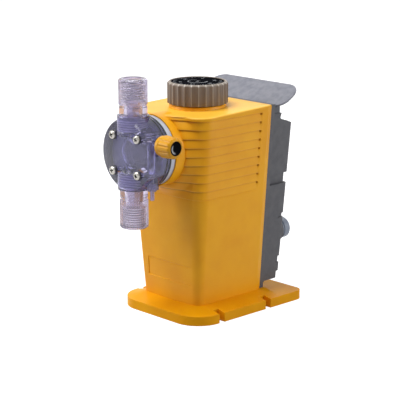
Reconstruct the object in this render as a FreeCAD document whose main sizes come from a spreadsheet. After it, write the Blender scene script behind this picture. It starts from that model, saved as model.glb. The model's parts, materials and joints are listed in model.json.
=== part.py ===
import FreeCAD, Part
import math
import os
import re
import Sketcher
from FreeCAD import Placement, Rotation, Vector

# Diaphragm metering pump: a tapered casing on a slotted base, a clear pump head in front, a stroke dial
# on top and a rear housing with the control panel under a tilting hood.
# The pump head looks towards -Y, the vent knob towards +X, and the base stands on the plane Z = 0.

os.makedirs("parts", exist_ok=True)
doc = FreeCAD.newDocument("metering_pump")

# Driving sizes, in millimetres and degrees
DRIVING = {
    # base plate
    "baseHalfWidth": 60.0, "baseFront": -63.5, "baseRear": 87.0, "baseThickness": 9.5,
    "baseFrontCorner": 28.0, "baseRearCorner": 9.0,
    "slotWidth": 6.8, "slotDepth": 9.5, "slotFrontPlace": -30.0, "slotSpacing": 65.0,
    "skirtRise": 4.5, "skirtRear": 52.0, "skirtMargin": 2.0, "ledgeWidth": 1.2, "screwSeatDepth": 4.0,
    # casing
    "casingHeight": 204.6, "roofTilt": 1.74, "footHalfWidth": 38.7, "footFront": -43.0, "casingRear": 43.8,
    "sideDraft": 4.36, "frontDraft": 2.71, "footCorner": 9.0, "cornerGrowth": 2.4, "farCorner": 3.0,
    "leastCorner": 1.0, "casingWall": 3.0, "frontBow": 1.2, "roofRound": 1.6,
    "boardDrop": 83.0, "boardPitch": 8.68, "boardCount": 9, "boardDepth": 1.3, "boardLip": 0.05,
    "boardRear": 31.5,
    "frameHalfWidth": 31.0, "frameFoot": 33.5, "frameHeight": 19.5, "frameLine": 0.9, "frameDepth": 0.6,
    "bossRadius": 35.5, "bossFace": -66.0, "padRadius": 30.0, "padThickness": 8.0, "bossThickness": 21.0,
    "shaftTunnel": 14.0,
    "baseScrewRadius": 2.0, "baseScrewHead": 4.0, "baseScrewHeadHeight": 2.4, "baseScrewX": 28.0,
    "baseScrewFront": -28.0, "baseScrewRear": 30.0, "screwPostRadius": 5.0, "screwPostHeight": 9.0,
    "screwTipGap": 0.5,
    # rear housing
    "flangeThickness": 5.0, "flangeFoot": 15.0, "gasketThickness": 0.8, "gasketInset": 1.0,
    "gasketWidth": 2.5,
    "boxFoot": 20.0, "boxFootHalfWidth": 38.0, "boxDraft": 2.9, "boxFootRear": 73.2, "boxRearDraft": 3.2,
    "boxCorner": 4.0, "boxWall": 2.5, "neckDepth": 14.5, "neckDrop": 16.1, "lugGap": 0.5,
    "boxOverrun": 6.0, "neckOverrun": 3.0,
    "neckHalfWidth": 46.0, "cheekThickness": 4.0, "panelSlope": 17.6, "panelRun": 9.5,
    "gripFoot": 121.0, "gripHeight": 11.0, "gripDepth": 3.0, "ribDepth": 1.4,
    "lowerRibFoot": 37.0, "lowerRibHeight": 7.0, "upperRibFoot": 85.0, "upperRibHeight": 4.5,
    "plinthRecess": 1.8, "plinthHeight": 8.0, "grooveFront": 53.0, "ribReach": 6.0, "plinthGap": 2.5,
    "rearScrewRadius": 1.5, "rearScrewHead": 2.5, "rearScrewHeadHeight": 2.0, "rearScrewInset": 5.4,
    "rearScrewLow": 36.0, "rearScrewDrop": 40.6, "rearScrewDepth": 12.0, "rearPostRadius": 3.2,
    "rearPostWeb": 2.5, "rearWellRadius": 2.9, "rearWellWall": 1.5,
    # hood
    "hoodHalfWidth": 60.9, "hoodLength": 34.3, "hoodThickness": 2.0, "hoodFarCorner": 17.0,
    "hoodNearCorner": 11.5, "hoodTilt": 29.85, "hingeSet": 6.7, "hingeDrop": 3.3, "hingeToFace": 5.4,
    "hingeToEdge": 3.1, "cheekGap": 0.6, "knuckleRadius": 3.0, "knuckleHalf": 30.0, "lugWidth": 8.0,
    "hingePinRadius": 1.5,
    "runningGap": 0.05, "sideGap": 0.3,
    # control panel
    "overlayThickness": 0.6, "overlayHalfWidth": 42.0, "overlayHalfDepth": 8.0,
    "windowCentre": -20.0, "windowWidth": 32.0, "windowDepth": 11.0,
    "keyRadius": 3.6, "keyFirst": 6.5, "keyPitch": 9.2, "keyProud": 1.8, "keyTravel": 0.8, "keyFlange": 1.0,
    "keyLip": 0.8, "keyGap": 0.15, "panelBoardDrop": 8.5, "boardThickness": 1.6, "panelBoardHalf": 43.0,
    "panelBoardHalfDepth": 7.5, "panelPostRadius": 1.8, "switchRadius": 2.2,
    # electrics inside
    "powerBoardHalf": 33.0, "powerBoardDrop": 36.6, "powerBoardPlace": 8.0,
    "transformerWidth": 40.0, "transformerDepth": 28.0, "transformerHeight": 34.0, "transformerFoot": 32.0,
    "coreSet": 6.0, "coreLeg": 7.0,
    "capacitorRadius": 9.0, "capacitorLength": 26.0, "capacitorSpacing": 24.0, "capacitorPlace": 96.0,
    "glandX": 28.0, "glandZ": 69.5, "glandRadius": 10.8, "glandBody": 8.0, "glandNutLength": 13.5,
    "glandPad": 12.5, "glandPadRise": 1.5, "glandCable": 3.2, "glandFlange": 3.5, "glandFlangeStep": 0.6,
    "glandTail": 6.0, "glandThread": 8.0, "glandSealWall": 3.0, "glandNutRound": 2.5,
    # shaft line and solenoid
    "shaftDrop": 36.0, "shaftRadius": 5.0, "plungerGap": 0.3,
    "solenoidRadius": 29.0, "poleFlange": 3.0, "poleTubeRadius": 9.5, "poleLength": 14.0,
    "poleBushLength": 9.0, "shaftEdge": 0.8,
    "coilLength": 22.0, "yokeWall": 3.0, "bobbinWall": 1.2, "bobbinFlange": 1.5, "bobbinFlangeRadius": 25.0,
    "windingRadius": 24.0, "plungerRadius": 9.4, "stroke": 1.5, "airGap": 1.0, "shaftStub": 1.8,
    "bushWall": 2.0,
    "springRadius": 8.2, "springWire": 1.6, "springSlack": 0.05, "springTurns": 5,
    "collarGap": 1.4, "collarThickness": 2.0, "collarRadius": 11.0,
    # diaphragm stack and pump head
    "ringThickness": 7.0, "ringRadius": 34.0, "ringRecess": 21.0, "ringRecessDepth": 2.6, "ringBore": 6.0,
    "ringSlope": 3.0, "insertRadius": 9.0, "insertThickness": 2.2, "insertEdge": 0.6, "insertCrown": 6.0,
    "diaphragmRim": 34.2, "diaphragmThickness": 2.5,
    "membraneThickness": 1.3, "diaphragmHub": 11.0, "hubRise": 1.2, "hubSlope": 2.0, "flexSlope": 1.5,
    "headRadius": 35.1, "headThickness": 24.0, "headEdge": 2.0,
    "chamberRadius": 20.0, "chamberDepth": 5.5, "valveSet": 9.2, "valveBossRadius": 15.5,
    "upperBossReach": 37.4, "upperBossHeight": 18.5, "lowerBossReach": 34.1, "lowerBossHeight": 16.8,
    "headScrewSpacing": 34.85, "headScrewRadius": 2.0, "headScrewHead": 4.1, "headScrewHeadHeight": 3.1,
    "washerThickness": 1.0, "washerRadius": 4.7, "spotFaceGap": 0.3, "headScrewStop": 3.0,
    "screwClearance": 0.2,
    "crossWidth": 1.3, "crossLength": 4.6, "crossDepth": 1.6,
    # valves and joints
    "socketRadius": 9.6, "seatThickness": 2.5, "seatBore": 3.6, "ballRadius": 4.75, "ballLift": 1.5,
    "ballRest": 0.1, "ballGap": 0.35, "guideBridge": 1.8, "guideFlow": 1.9, "spigotLength": 2.5,
    "channelRadius": 3.0, "channelOffset": 15.4, "lowerChannelRise": 1.8, "ballHeadroom": 0.25,
    "jointRadius": 13.9, "jointSeatGap": 0.4, "upperJointLength": 35.0, "lowerJointLength": 38.1,
    "neckRadius": 13.2, "neckLength": 1.6, "neckSlope": 0.8, "collarLength": 8.8, "jointEdge": 1.2,
    "portRadius": 9.3, "portDepth": 16.0, "fluteRadius": 0.9, "fluteProud": 0.45, "fluteCount": 36,
    "jointCollar": 13.7, "jointBore": 6.0, "socketFit": 0.02,
    # air vent
    "ventSet": 11.5, "ventRise": 12.4, "ventBossRadius": 8.6, "ventSpigotRadius": 6.0,
    "ventSpigotLength": 8.8, "knobGap": 1.2, "knobLength": 19.6, "knobRadius": 10.9, "knobEndRadius": 9.8,
    "knobCollarRadius": 9.7, "knobCollarLength": 5.4, "knobStep": 0.5, "knobEndRound": 1.0,
    "knobRibs": 12, "knobRibRadius": 1.6, "knobRibCut": 0.7, "capRadius": 7.2, "capThickness": 1.6,
    "capEdge": 0.3, "capCrown": 2.0, "capRise": 0.5,
    "needleRadius": 1.4, "needleTip": 12.0, "needlePoint": 2.0, "needleHead": 4.0, "needleHeadThickness": 2.0,
    "needleGap": 0.3, "ventBossProud": 0.1, "knobFit": 0.15,
    "nippleX": 22.5, "nippleBossRadius": 6.35, "nippleBossReach": 31.6, "nippleBossHeight": 15.0,
    "nippleRadius": 2.1, "nippleLength": 11.0, "nippleBore": 1.0, "nippleStem": 3.4,
    # stroke dial
    "dialY": -6.0, "dialRadius": 30.1, "dialGap": 0.8, "dialHeight": 21.2, "dialBevel": 1.8,
    "dialFaceRadius": 26.4, "dialFaceThickness": 1.0, "dialSkirt": 3.6, "dialWeb": 5.0, "dialHub": 8.0,
    "fluteDialCount": 26, "dialFluteRadius": 3.2, "dialFluteDepth": 0.9,
    "collarSeatRadius": 24.0, "collarSeatRise": 2.6, "roofBossRadius": 10.5, "roofBossDrop": 8.0,
    "spindleRadius": 4.0, "bracketDrop": 20.0, "spindleBushRadius": 7.0,
    "camLow": 5.5, "camRise": 1.2, "camThickness": 8.0, "camSweep": 300.0,
    "dialRimRise": 0.5, "spindleInset": 1.0,
    "bracketHalf": 14.0, "bracketRear": 8.0, "bracketThickness": 4.0, "camGap": 0.3,
}

# Places that follow from the driving sizes
WORKED_OUT = {
    "shaftZ": "casingHeight - shaftDrop",
    "boardFoot": "casingHeight - boardDrop",
    "rearScrewHigh": "casingHeight - rearScrewDrop",
    "powerBoardTop": "shaftZ - powerBoardDrop",
    "ringFront": "bossFace - ringThickness",
    "headRear": "ringFront - diaphragmThickness",
    "headFront": "headRear - headThickness",
    "valveY": "headFront + valveSet",
    "ventY": "headRear - ventSet",
    "padFace": "bossFace + bossThickness",
    "headScrewEnd": "padFace - headScrewStop",
    "poleTubeEnd": "padFace + poleLength",
    "coilEnd": "padFace + poleFlange + coilLength",
    "plungerFront": "poleTubeEnd + stroke + airGap",
    "plungerRear": "dialY - camLow - camRise - camGap - shaftStub",
    "collarFront": "padFace - collarThickness - collarGap",
    "collarSeatTop": "casingHeight + collarSeatRise",
    "dialFoot": "collarSeatTop + dialGap",
    "dialTop": "dialFoot + dialHeight",
    "spindleFoot": "shaftZ - bracketDrop",
    "hingeZ": "casingHeight - hingeDrop",
    "hingeY": "casingRear + flangeThickness + hingeSet",
    "neckRear": "casingRear + flangeThickness + neckDepth",
    "neckTop": "hingeZ - knuckleRadius - lugGap",
    "neckFoot": "casingHeight - neckDrop",
    "upperBossTop": "shaftZ + upperBossReach",
    "upperBossFoot": "upperBossTop - upperBossHeight",
    "lowerBossFoot": "shaftZ - lowerBossReach",
    "lowerBossTop": "lowerBossFoot + lowerBossHeight",
    "upperChannel": "shaftZ + channelOffset",
    "lowerChannel": "shaftZ - channelOffset + lowerChannelRise",
    "jointTop": "upperBossTop + upperJointLength",
    "jointFoot": "lowerBossFoot - lowerJointLength",
    "ventZ": "shaftZ + ventRise",
    "ventBossEnd": "headRadius + ventBossProud",
    "ventSpigotEnd": "ventBossEnd + ventSpigotLength",
    "knobStart": "ventBossEnd + knobGap",
    "knobEnd": "knobStart + knobLength",
    "nippleBossFoot": "shaftZ - nippleBossReach",
    "nippleBossTop": "nippleBossFoot + nippleBossHeight",
    "nippleFoot": "nippleBossFoot - nippleLength",
    "ledge": "baseThickness + skirtRise",
    "slotRearPlace": "slotFrontPlace + slotSpacing",
    "casingFloor": "ledge + casingWall",
    "screwPostTop": "casingFloor + screwPostHeight",
    "flangeRear": "casingRear + flangeThickness",
    "neckRearHalf": "neckHalfWidth - cheekThickness",
    "poleFace": "padFace + poleFlange",
    "yokeRear": "coilEnd + yokeWall",
    "bobbinInner": "plungerRadius + plungerGap",
    "bobbinOuter": "bobbinInner + bobbinWall",
    "poleBore": "shaftRadius + bushWall",
    "yokeBore": "plungerRadius + bushWall",
    "collarRear": "collarFront + collarThickness",
    "insertRear": "ringFront + insertThickness",
    "headScrewHalf": "headScrewSpacing / 2",
    "screwHole": "headScrewRadius + screwClearance",
    "washerFront": "headFront - washerThickness",
    "ballSink": "sqrt(ballRadius * ballRadius - seatBore * seatBore)",
    "ballRoom": "ballSink + ballRest + ballRadius + ballLift + ballHeadroom",
    "socketDepth": "seatThickness + ballRoom + guideBridge + spigotLength",
    "dischargeSeat": "upperBossTop - socketDepth",
    "suctionSeat": "lowerBossFoot + spigotLength",
    "guideHeight": "socketDepth - seatThickness - spigotLength",
    "guideBore": "ballRadius + ballGap",
    "ballHeight": "seatThickness + ballSink + ballRest",
    "lowerSocketTop": "lowerBossFoot + socketDepth",
    "knobHollow": "ventSpigotRadius + knobFit",
    "needleHeadStart": "ventSpigotEnd + needleGap",
    "needleEnd": "needleHeadStart + needleHeadThickness",
    "dialFaceFloor": "dialTop - dialFaceThickness - dialRimRise",
    "dialWebFoot": "dialFaceFloor - dialWeb",
    "roofBossFoot": "casingHeight - casingWall - roofBossDrop",
    "spindleTop": "dialFaceFloor - spindleInset",
    "camFoot": "shaftZ - camThickness / 2",
    "shaftTail": "plungerRear + shaftStub",
    "bracketFoot": "spindleFoot",
    "glandWall": "boxFootRear + (glandZ - boxFoot) * tan(boxRearDraft)",
    "glandPadFace": "glandWall + glandPadRise",
    "glandThreadEnd": "glandPadFace + glandFlange + glandThread",
    "glandSealRadius": "glandCable + glandSealWall",
    "glandNutEnd": "glandPadFace + glandNutLength",
    "screwSeat": "baseThickness - screwSeatDepth",
    "knobBodyStart": "knobStart + knobCollarLength",
    "panelMidY": "neckRear + panelRun * cos(panelSlope)",
    "panelMidZ": "neckFoot - panelRun * sin(panelSlope)",
    "keyFlangeFoot": "-boxWall - keyGap - keyFlange",
    "powerBoardFace": "powerBoardPlace + boardThickness",
}

owner = {}


def fill_sheet(name, cells):
    """Makes a spreadsheet with one aliased cell per row."""
    sheet = doc.addObject("Spreadsheet::Sheet", name)
    for row, (alias, content) in enumerate(cells.items(), start=1):
        sheet.set(f"A{row}", alias)
        sheet.set(f"B{row}", str(content))
        sheet.setAlias(f"B{row}", alias)
        owner[alias] = name + "."
    return sheet


def formula(text):
    """Puts the sheet's name before every alias in a formula."""
    return re.sub(r"[A-Za-z]\w*", lambda word: owner.get(word.group(0), "") + word.group(0), str(text))


sizes = fill_sheet("Sizes", DRIVING)
owner.update({alias: "Places." for alias in WORKED_OUT})
places = fill_sheet("Places", {alias: "=" + formula(text) for alias, text in WORKED_OUT.items()})
doc.recompute()


def value(text):
    """The number that a formula of aliases gives now."""
    found = sizes.evalExpression(formula(text))
    return float(getattr(found, "Value", found))


def bind(thing, **formulas):
    """Ties properties of an object to formulas of aliases."""
    for name, text in formulas.items():
        thing.setExpression(name, formula(text))


AXIS_TURN = {"Z": Rotation(), "Y": Rotation(Vector(1, 0, 0), -90), "X": Rotation(Vector(0, 1, 0), 90)}


def put(thing, x=0, y=0, z=0, axis="Z"):
    """Places an object at three formulas, with its own Z turned to the named axis."""
    thing.Placement = Placement(Vector(value(x), value(y), value(z)), AXIS_TURN[axis])
    for name, text in (("x", x), ("y", y), ("z", z)):
        thing.setExpression("Placement.Base." + name, formula(text))
    return thing


def cylinder(radius, start, end, a=0, b=0, axis="Z"):
    """A cylinder from start to end along an axis, at a and b on the other two axes in X, Y, Z order."""
    thing = doc.addObject("Part::Cylinder", "Cylinder")
    bind(thing, Radius=radius, Height=f"({end}) - ({start})")
    spots = {"Z": (a, b, start), "Y": (a, start, b), "X": (start, a, b)}
    return put(thing, *spots[axis], axis=axis)


def box(x0, x1, y0, y1, z0, z1):
    """A box between two corners given as formulas."""
    thing = doc.addObject("Part::Box", "Box")
    bind(thing, Length=f"({x1}) - ({x0})", Width=f"({y1}) - ({y0})", Height=f"({z1}) - ({z0})")
    return put(thing, x0, y0, z0)


def fuse(*things):
    """The union of several objects."""
    joined = doc.addObject("Part::MultiFuse", "Fuse")
    joined.Shapes = list(things)
    return joined


def cut(base, *tools):
    """A base with every tool taken out of it."""
    result = doc.addObject("Part::Cut", "Cut")
    result.Base = base
    result.Tool = tools[0] if len(tools) == 1 else fuse(*tools)
    return result


def group(*things):
    """Separate solids kept in one object."""
    compound = doc.addObject("Part::Compound", "Group")
    compound.Links = list(things)
    return compound


def shaped(shape):
    """An object whose shape is worked out from the sheet's sizes."""
    feature = doc.addObject("Part::Feature", "Shaped")
    feature.Shape = shape
    return feature


def origin_plane(body, role):
    """One of a body's own origin planes, by its role."""
    return [plane for plane in body.Origin.OriginFeatures if plane.Role == role][0]


def outline_sketch(body, role, points):
    """A closed sketch through points given as pairs of formulas, each tied to the sheet."""
    sketch = body.newObject("Sketcher::SketchObject", "Outline")
    sketch.AttachmentSupport = [(origin_plane(body, role), "")]
    sketch.MapMode = "FlatFace"
    spots = [Vector(value(a), value(b), 0) for a, b in points]
    count = len(spots)
    for i in range(count):
        sketch.addGeometry(Part.LineSegment(spots[i], spots[(i + 1) % count]), False)
    for i in range(count):
        sketch.addConstraint(Sketcher.Constraint("Coincident", i, 2, (i + 1) % count, 1))
    for i, (a, b) in enumerate(points):
        for kind, text, spot in (("DistanceX", a, spots[i].x), ("DistanceY", b, spots[i].y)):
            made = sketch.addConstraint(Sketcher.Constraint(kind, -1, 1, i, 1, spot))
            sketch.setExpression(f"Constraints[{made}]", formula(text))
    return sketch


def turned(points, a=0, b=0, axis="Z"):
    """A body turned about an axis from pairs of radius and height, at a and b on the other two axes."""
    body = doc.addObject("PartDesign::Body", "Turned")
    sketch = outline_sketch(body, "XZ_Plane", points)
    revolution = body.newObject("PartDesign::Revolution", "Revolution")
    revolution.Profile = sketch
    revolution.ReferenceAxis = (sketch, ["V_Axis"])
    revolution.Angle = 360
    spots = {"Z": (a, b, 0), "Y": (a, 0, b), "X": (0, a, b)}
    return put(body, *spots[axis], axis=axis)


def fluted(body, radius, place, start, end, count):
    """Cuts one round flute along a turned body and repeats it about the body's axis."""
    doc.recompute()
    sketch = body.newObject("Sketcher::SketchObject", "Flute")
    sketch.AttachmentSupport = [(origin_plane(body, "XY_Plane"), "")]
    sketch.MapMode = "FlatFace"
    sketch.addGeometry(Part.Circle(Vector(value(place), 0, 0), Vector(0, 0, 1), value(radius)), False)
    sketch.addConstraint(Sketcher.Constraint("PointOnObject", 0, 3, -1))
    far = sketch.addConstraint(Sketcher.Constraint("DistanceX", -1, 1, 0, 3, value(place)))
    sketch.setExpression(f"Constraints[{far}]", formula(place))
    wide = sketch.addConstraint(Sketcher.Constraint("Radius", 0, value(radius)))
    sketch.setExpression(f"Constraints[{wide}]", formula(radius))
    sketch.AttachmentOffset = Placement(Vector(0, 0, value(start)), Rotation())
    sketch.setExpression("AttachmentOffset.Base.z", formula(start))
    pocket = body.newObject("PartDesign::Pocket", "FlutePocket")
    pocket.Profile = sketch
    pocket.Reversed = True
    bind(pocket, Length=f"({end}) - ({start})")
    doc.recompute()
    pattern = body.newObject("PartDesign::PolarPattern", "Flutes")
    pattern.Originals = [pocket]
    pattern.Axis = (sketch, ["N_Axis"])
    pattern.Angle = 360
    bind(pattern, Occurrences=count)
    body.Tip = pattern
    doc.recompute()
    return body


nodes = {}


def node(name, thing):
    """Names a finished piece: its label is its node's name."""
    thing.Label = name
    nodes[name] = thing
    return thing


def corners(spots):
    """A closed polygon wire through places in space."""
    return Part.makePolygon(spots + [spots[0]])


def solid_between(lower, upper):
    """A ruled solid between two closed wires."""
    return Part.makeLoft([lower, upper], True, True)


# Casing outline at one height

def casing_half(z):
    """Half the casing's width at height z."""
    return value("footHalfWidth") + (z - value("ledge")) * math.tan(math.radians(value("sideDraft")))


def casing_front(z):
    """The casing's front plane at height z."""
    return value("footFront") - (z - value("ledge")) * math.tan(math.radians(value("frontDraft")))


def rounded_front(z, half, front, corner, far_corner, rear):
    """A closed outline at height z: a bowed front between a near and a far rounded corner, closed at rear."""
    slant = 1 - math.sqrt(0.5)
    near = (Vector(half, front + corner, z), Vector(half - corner * slant, front + corner * slant, z),
            Vector(half - corner, front, z))
    far = (Vector(far_corner - half, front, z),
           Vector(far_corner * slant - half, front + far_corner * slant, z),
           Vector(-half, front + far_corner, z))
    bow = Vector(0, front - value("frontBow"), z)
    right, left = Vector(half, rear, z), Vector(-half, rear, z)
    edges = [Part.LineSegment(right, near[0]), Part.Arc(*near), Part.Arc(near[2], bow, far[0]),
             Part.Arc(*far), Part.LineSegment(far[2], left), Part.LineSegment(left, right)]
    return Part.Wire([edge.toShape() for edge in edges])


def casing_outline(z, inset, rear):
    """The casing's outline at height z, drawn in by inset; its corner towards the vent knob grows upwards."""
    growth = math.tan(math.radians(value("cornerGrowth")))
    least = value("leastCorner")
    near = max(value("footCorner") + (z - value("ledge")) * growth - inset, least)
    far = max(value("farCorner") - inset, least)
    return rounded_front(z, casing_half(z) - inset, casing_front(z) + inset, near, far, rear)


def above_roof(drop):
    """Everything above the tilted roof plane, lowered by drop."""
    span = 4 * value("casingHeight")
    slab = Part.makeBox(span, span, span, Vector(-span / 2, -span / 2, 0))
    slab.Placement = Placement(Vector(0, 0, value("casingHeight") - drop),
                               Rotation(Vector(1, 0, 0), value("roofTilt")))
    return slab


def casing_solid(foot, inset, rear, drop):
    """The tapered casing volume between a foot height and the roof plane."""
    top = value("casingHeight") + 2 * value("casingWall")
    body = solid_between(casing_outline(foot, inset, rear), casing_outline(top, inset, rear))
    return body.cut(above_roof(drop))


def weather_board(index):
    """The wedge taken out above one board, deepest under the next board's lower edge."""
    low = value("boardFoot") + index * value("boardPitch")
    high = low + value("boardPitch")
    rear = value("casingRear") + 1
    band = Part.makeBox(4 * casing_half(high), value("boardRear") - 2 * casing_front(high), high - low,
                        Vector(-2 * casing_half(high), 2 * casing_front(high), low))
    return band.cut(solid_between(casing_outline(low, value("boardLip"), rear),
                                  casing_outline(high, value("boardDepth"), rear)))


def round_bar(radius, start, end, centre):
    """A bar along Y about a centre in X and Z."""
    return Part.makeCylinder(radius, end - start, Vector(centre[0], start, centre[1]), Vector(0, 1, 0))


def upright(radius, foot, top, centre):
    """A bar along Z about a centre in X and Y."""
    return Part.makeCylinder(radius, top - foot, Vector(centre[0], centre[1], foot))


SIGNS = ((1, 1), (-1, 1), (-1, -1), (1, -1))


def head_screw_spots():
    """The four head screws' places in X and Z."""
    half = value("headScrewHalf")
    return [(a * half, value("shaftZ") + b * half) for a, b in SIGNS]


def base_screw_spots():
    """The four base screws' places in X and Y."""
    reach = value("baseScrewX")
    return [(a * reach, value("baseScrewFront" if b > 0 else "baseScrewRear")) for a, b in SIGNS]


def box_half(z):
    """Half the rear box's width at height z."""
    return value("boxFootHalfWidth") + (z - value("boxFoot")) * math.tan(math.radians(value("boxDraft")))


def rear_screw_spots():
    """The four rear screws' places in X and Z, inside the rear box's tapered sides."""
    spots = []
    for a, b in SIGNS:
        z = value("rearScrewHigh" if b > 0 else "rearScrewLow")
        spots.append((a * (box_half(z) - value("rearScrewInset")), z))
    return spots


def rear_post(spot):
    """A post for one rear screw, on a web that ties it to the casing's side wall."""
    x, z = spot
    start, end = value("casingRear") - value("rearScrewDepth") - value("casingWall"), value("casingRear")
    post = round_bar(value("rearPostRadius"), start, end, spot)
    reach, thick = casing_half(z) - abs(x), value("rearPostWeb")
    web = Part.makeBox(reach, end - start, thick, Vector(min(x, math.copysign(casing_half(z), x)), start,
                                                         z - thick / 2))
    return [post, web]


def lettering_frame():
    """The fine engraved rectangle low on the casing's front; its inside is bare."""
    line, half = value("frameLine"), value("frameHalfWidth")
    foot, tall = value("frameFoot"), value("frameHeight")
    deep = value("footFront")
    outer = Part.makeBox(2 * half, -deep, tall, Vector(-half, 2 * deep, foot))
    inner = Part.makeBox(2 * (half - line), -deep, tall - 2 * line, Vector(line - half, 2 * deep,
                                                                           foot + line))
    keep = casing_solid(value("ledge"), value("frameDepth"), value("casingRear") + 1, 0)
    return outer.cut(inner).cut(keep)


def main_casing():
    """The yellow casing: a tapered shell open at the rear, with bosses for head and dial and screw posts."""
    rear = value("casingRear")
    outer = casing_solid(value("ledge"), 0, rear, 0)
    roof_edges = [edge for edge in outer.Edges
                  if all(v.Z > value("casingHeight") - 4 and v.Y < rear + 1 for v in edge.Vertexes)
                  and min(v.Y for v in edge.Vertexes) < rear - 1]
    outer = outer.makeFillet(value("roofRound"), roof_edges)
    outer = outer.cut([weather_board(i) for i in range(int(value("boardCount")))])
    shaft, dial = (0, value("shaftZ")), (0, value("dialY"))
    seat_foot = value("casingHeight") - value("casingWall") / 2
    outer = outer.fuse([round_bar(value("bossRadius"), value("bossFace"), value("padFace"), shaft),
                        upright(value("collarSeatRadius"), seat_foot, value("collarSeatTop"), dial)])
    hollow = casing_solid(value("casingFloor"), value("casingWall"), rear + 1, value("casingWall"))
    posts = [round_bar(value("padRadius"), value("padFace") - value("padThickness"), value("padFace"), shaft),
             upright(value("roofBossRadius"), value("roofBossFoot"), value("casingHeight"), dial)]
    posts += [upright(value("screwPostRadius"), value("ledge"), value("screwPostTop"), spot)
              for spot in base_screw_spots()]
    for spot in rear_screw_spots():
        posts += rear_post(spot)
    hollow = hollow.cut(posts)
    drills = [round_bar(value("shaftTunnel"), value("bossFace") - 1, value("padFace") + 1, shaft),
              upright(value("spindleBushRadius"), value("roofBossFoot") - 1, value("collarSeatTop") + 1,
                      dial)]
    drills += [round_bar(value("headScrewRadius"), value("bossFace") - 1, value("headScrewEnd"), spot)
               for spot in head_screw_spots()]
    drills += [upright(value("baseScrewRadius"), value("ledge") - 1, value("screwPostTop") - 2, spot)
               for spot in base_screw_spots()]
    drills += [round_bar(value("rearScrewRadius"), rear - value("rearScrewDepth"), rear + 1, spot)
               for spot in rear_screw_spots()]
    return outer.cut([hollow, lettering_frame()] + drills).removeSplitter()


node("main_casing", shaped(main_casing()))


# Rear housing

def tapered_box(inset, foot, top, front):
    """The rear box between two heights: tapered sides and rear, rounded rear corners, drawn in by inset."""
    def ring(z):
        climb = z - value("boxFoot")
        half = box_half(z) - inset
        rear = value("boxFootRear") + climb * math.tan(math.radians(value("boxRearDraft"))) - inset
        radius = max(value("boxCorner") - inset, 1.0)
        slant = radius * (1 - math.sqrt(0.5))
        edges = [
            Part.LineSegment(Vector(-half, front, z), Vector(half, front, z)),
            Part.LineSegment(Vector(half, front, z), Vector(half, rear - radius, z)),
            Part.Arc(Vector(half, rear - radius, z), Vector(half - slant, rear - slant, z),
                     Vector(half - radius, rear, z)),
            Part.LineSegment(Vector(half - radius, rear, z), Vector(radius - half, rear, z)),
            Part.Arc(Vector(radius - half, rear, z), Vector(slant - half, rear - slant, z),
                     Vector(-half, rear - radius, z)),
            Part.LineSegment(Vector(-half, rear - radius, z), Vector(-half, front, z)),
        ]
        return Part.Wire([edge.toShape() for edge in edges])
    return solid_between(ring(foot), ring(top))


def above_panel(drop):
    """Everything above the sloping control panel, lowered by drop along the slope's normal."""
    span = 3 * value("baseRear")
    slab = Part.makeBox(span, span, span, Vector(-span / 2, 0, 0))
    turn = Rotation(Vector(1, 0, 0), -value("panelSlope"))
    corner = Vector(0, value("neckRear"), value("neckFoot"))
    slab.Placement = Placement(corner + turn.multVec(Vector(0, -2 * drop, -drop)), turn)
    return slab


def flange_plate(inset, front, rear):
    """A plate with the casing's rear outline, drawn in by inset."""
    foot, top = value("flangeFoot") + inset, roof_rear() - inset
    spots = [Vector(a * (casing_half(z) - inset), front, z)
             for a, z in ((-1, foot), (1, foot), (1, top), (-1, top))]
    return Part.Face(corners(spots)).extrude(Vector(0, rear - front, 0))


def roof_rear():
    """The roof's height at the casing's rear edge."""
    return value("casingHeight") + value("casingRear") * math.tan(math.radians(value("roofTilt")))


def side_groove(foot, height, depth, front):
    """A groove round the box's sides and rear from a front plane rearward."""
    reach = 4 * value("neckHalfWidth")
    band = Part.makeBox(reach, reach, height, Vector(-reach / 2, front, foot))
    return band.cut(tapered_box(depth, foot - 1, foot + height + 1, value("casingRear")))


def panel_place(u=0, v=0, n=0):
    """Formulas for a place on the control panel: across, down the slope and out along its normal."""
    down = f"(({v}) * cos(panelSlope) + ({n}) * sin(panelSlope))"
    out = f"(({n}) * cos(panelSlope) - ({v}) * sin(panelSlope))"
    return f"{u}", f"panelMidY + {down}", f"panelMidZ + {out}"


def on_panel(thing, u=0, v=0, n=0):
    """Places an object on the control panel's slope."""
    put(thing, *panel_place(u, v, n))
    thing.Placement = Placement(thing.Placement.Base, Rotation(Vector(-1, 0, 0), value("panelSlope")))
    bind(thing, **{"Placement.Rotation.Angle": "panelSlope"})
    return thing


KEYS = ("key_start", "key_stop", "key_up", "key_down")


def key_across(index):
    """The formula for a key's place across the panel."""
    return f"keyFirst + {index} * keyPitch"


def panel_tool(width, depth, low, high, u):
    """A block on the panel's slope, worked out for cutting."""
    block = Part.makeBox(width, depth, high - low, Vector(u - width / 2, -depth / 2, low))
    block.Placement = panel_frame()
    return block


def panel_drill(radius, low, high, u, v=0):
    """A bar along the panel's normal, worked out for cutting or joining."""
    bar = Part.makeCylinder(radius, high - low, Vector(u, v, low))
    bar.Placement = panel_frame()
    return bar


def panel_frame():
    """The placement of the control panel's own axes."""
    return Placement(Vector(0, value("panelMidY"), value("panelMidZ")),
                     Rotation(Vector(1, 0, 0), -value("panelSlope")))


def panel_posts():
    """The two posts that carry the panel's circuit board, across the panel."""
    reach = value("panelBoardHalf") - value("panelPostRadius") - 0.4
    return (-reach, reach)


def hinge_bar(radius, start, end):
    """A bar along X on the hood's hinge line."""
    return Part.makeCylinder(radius, end - start, Vector(start, value("hingeY"), value("hingeZ")),
                             Vector(1, 0, 0))


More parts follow.
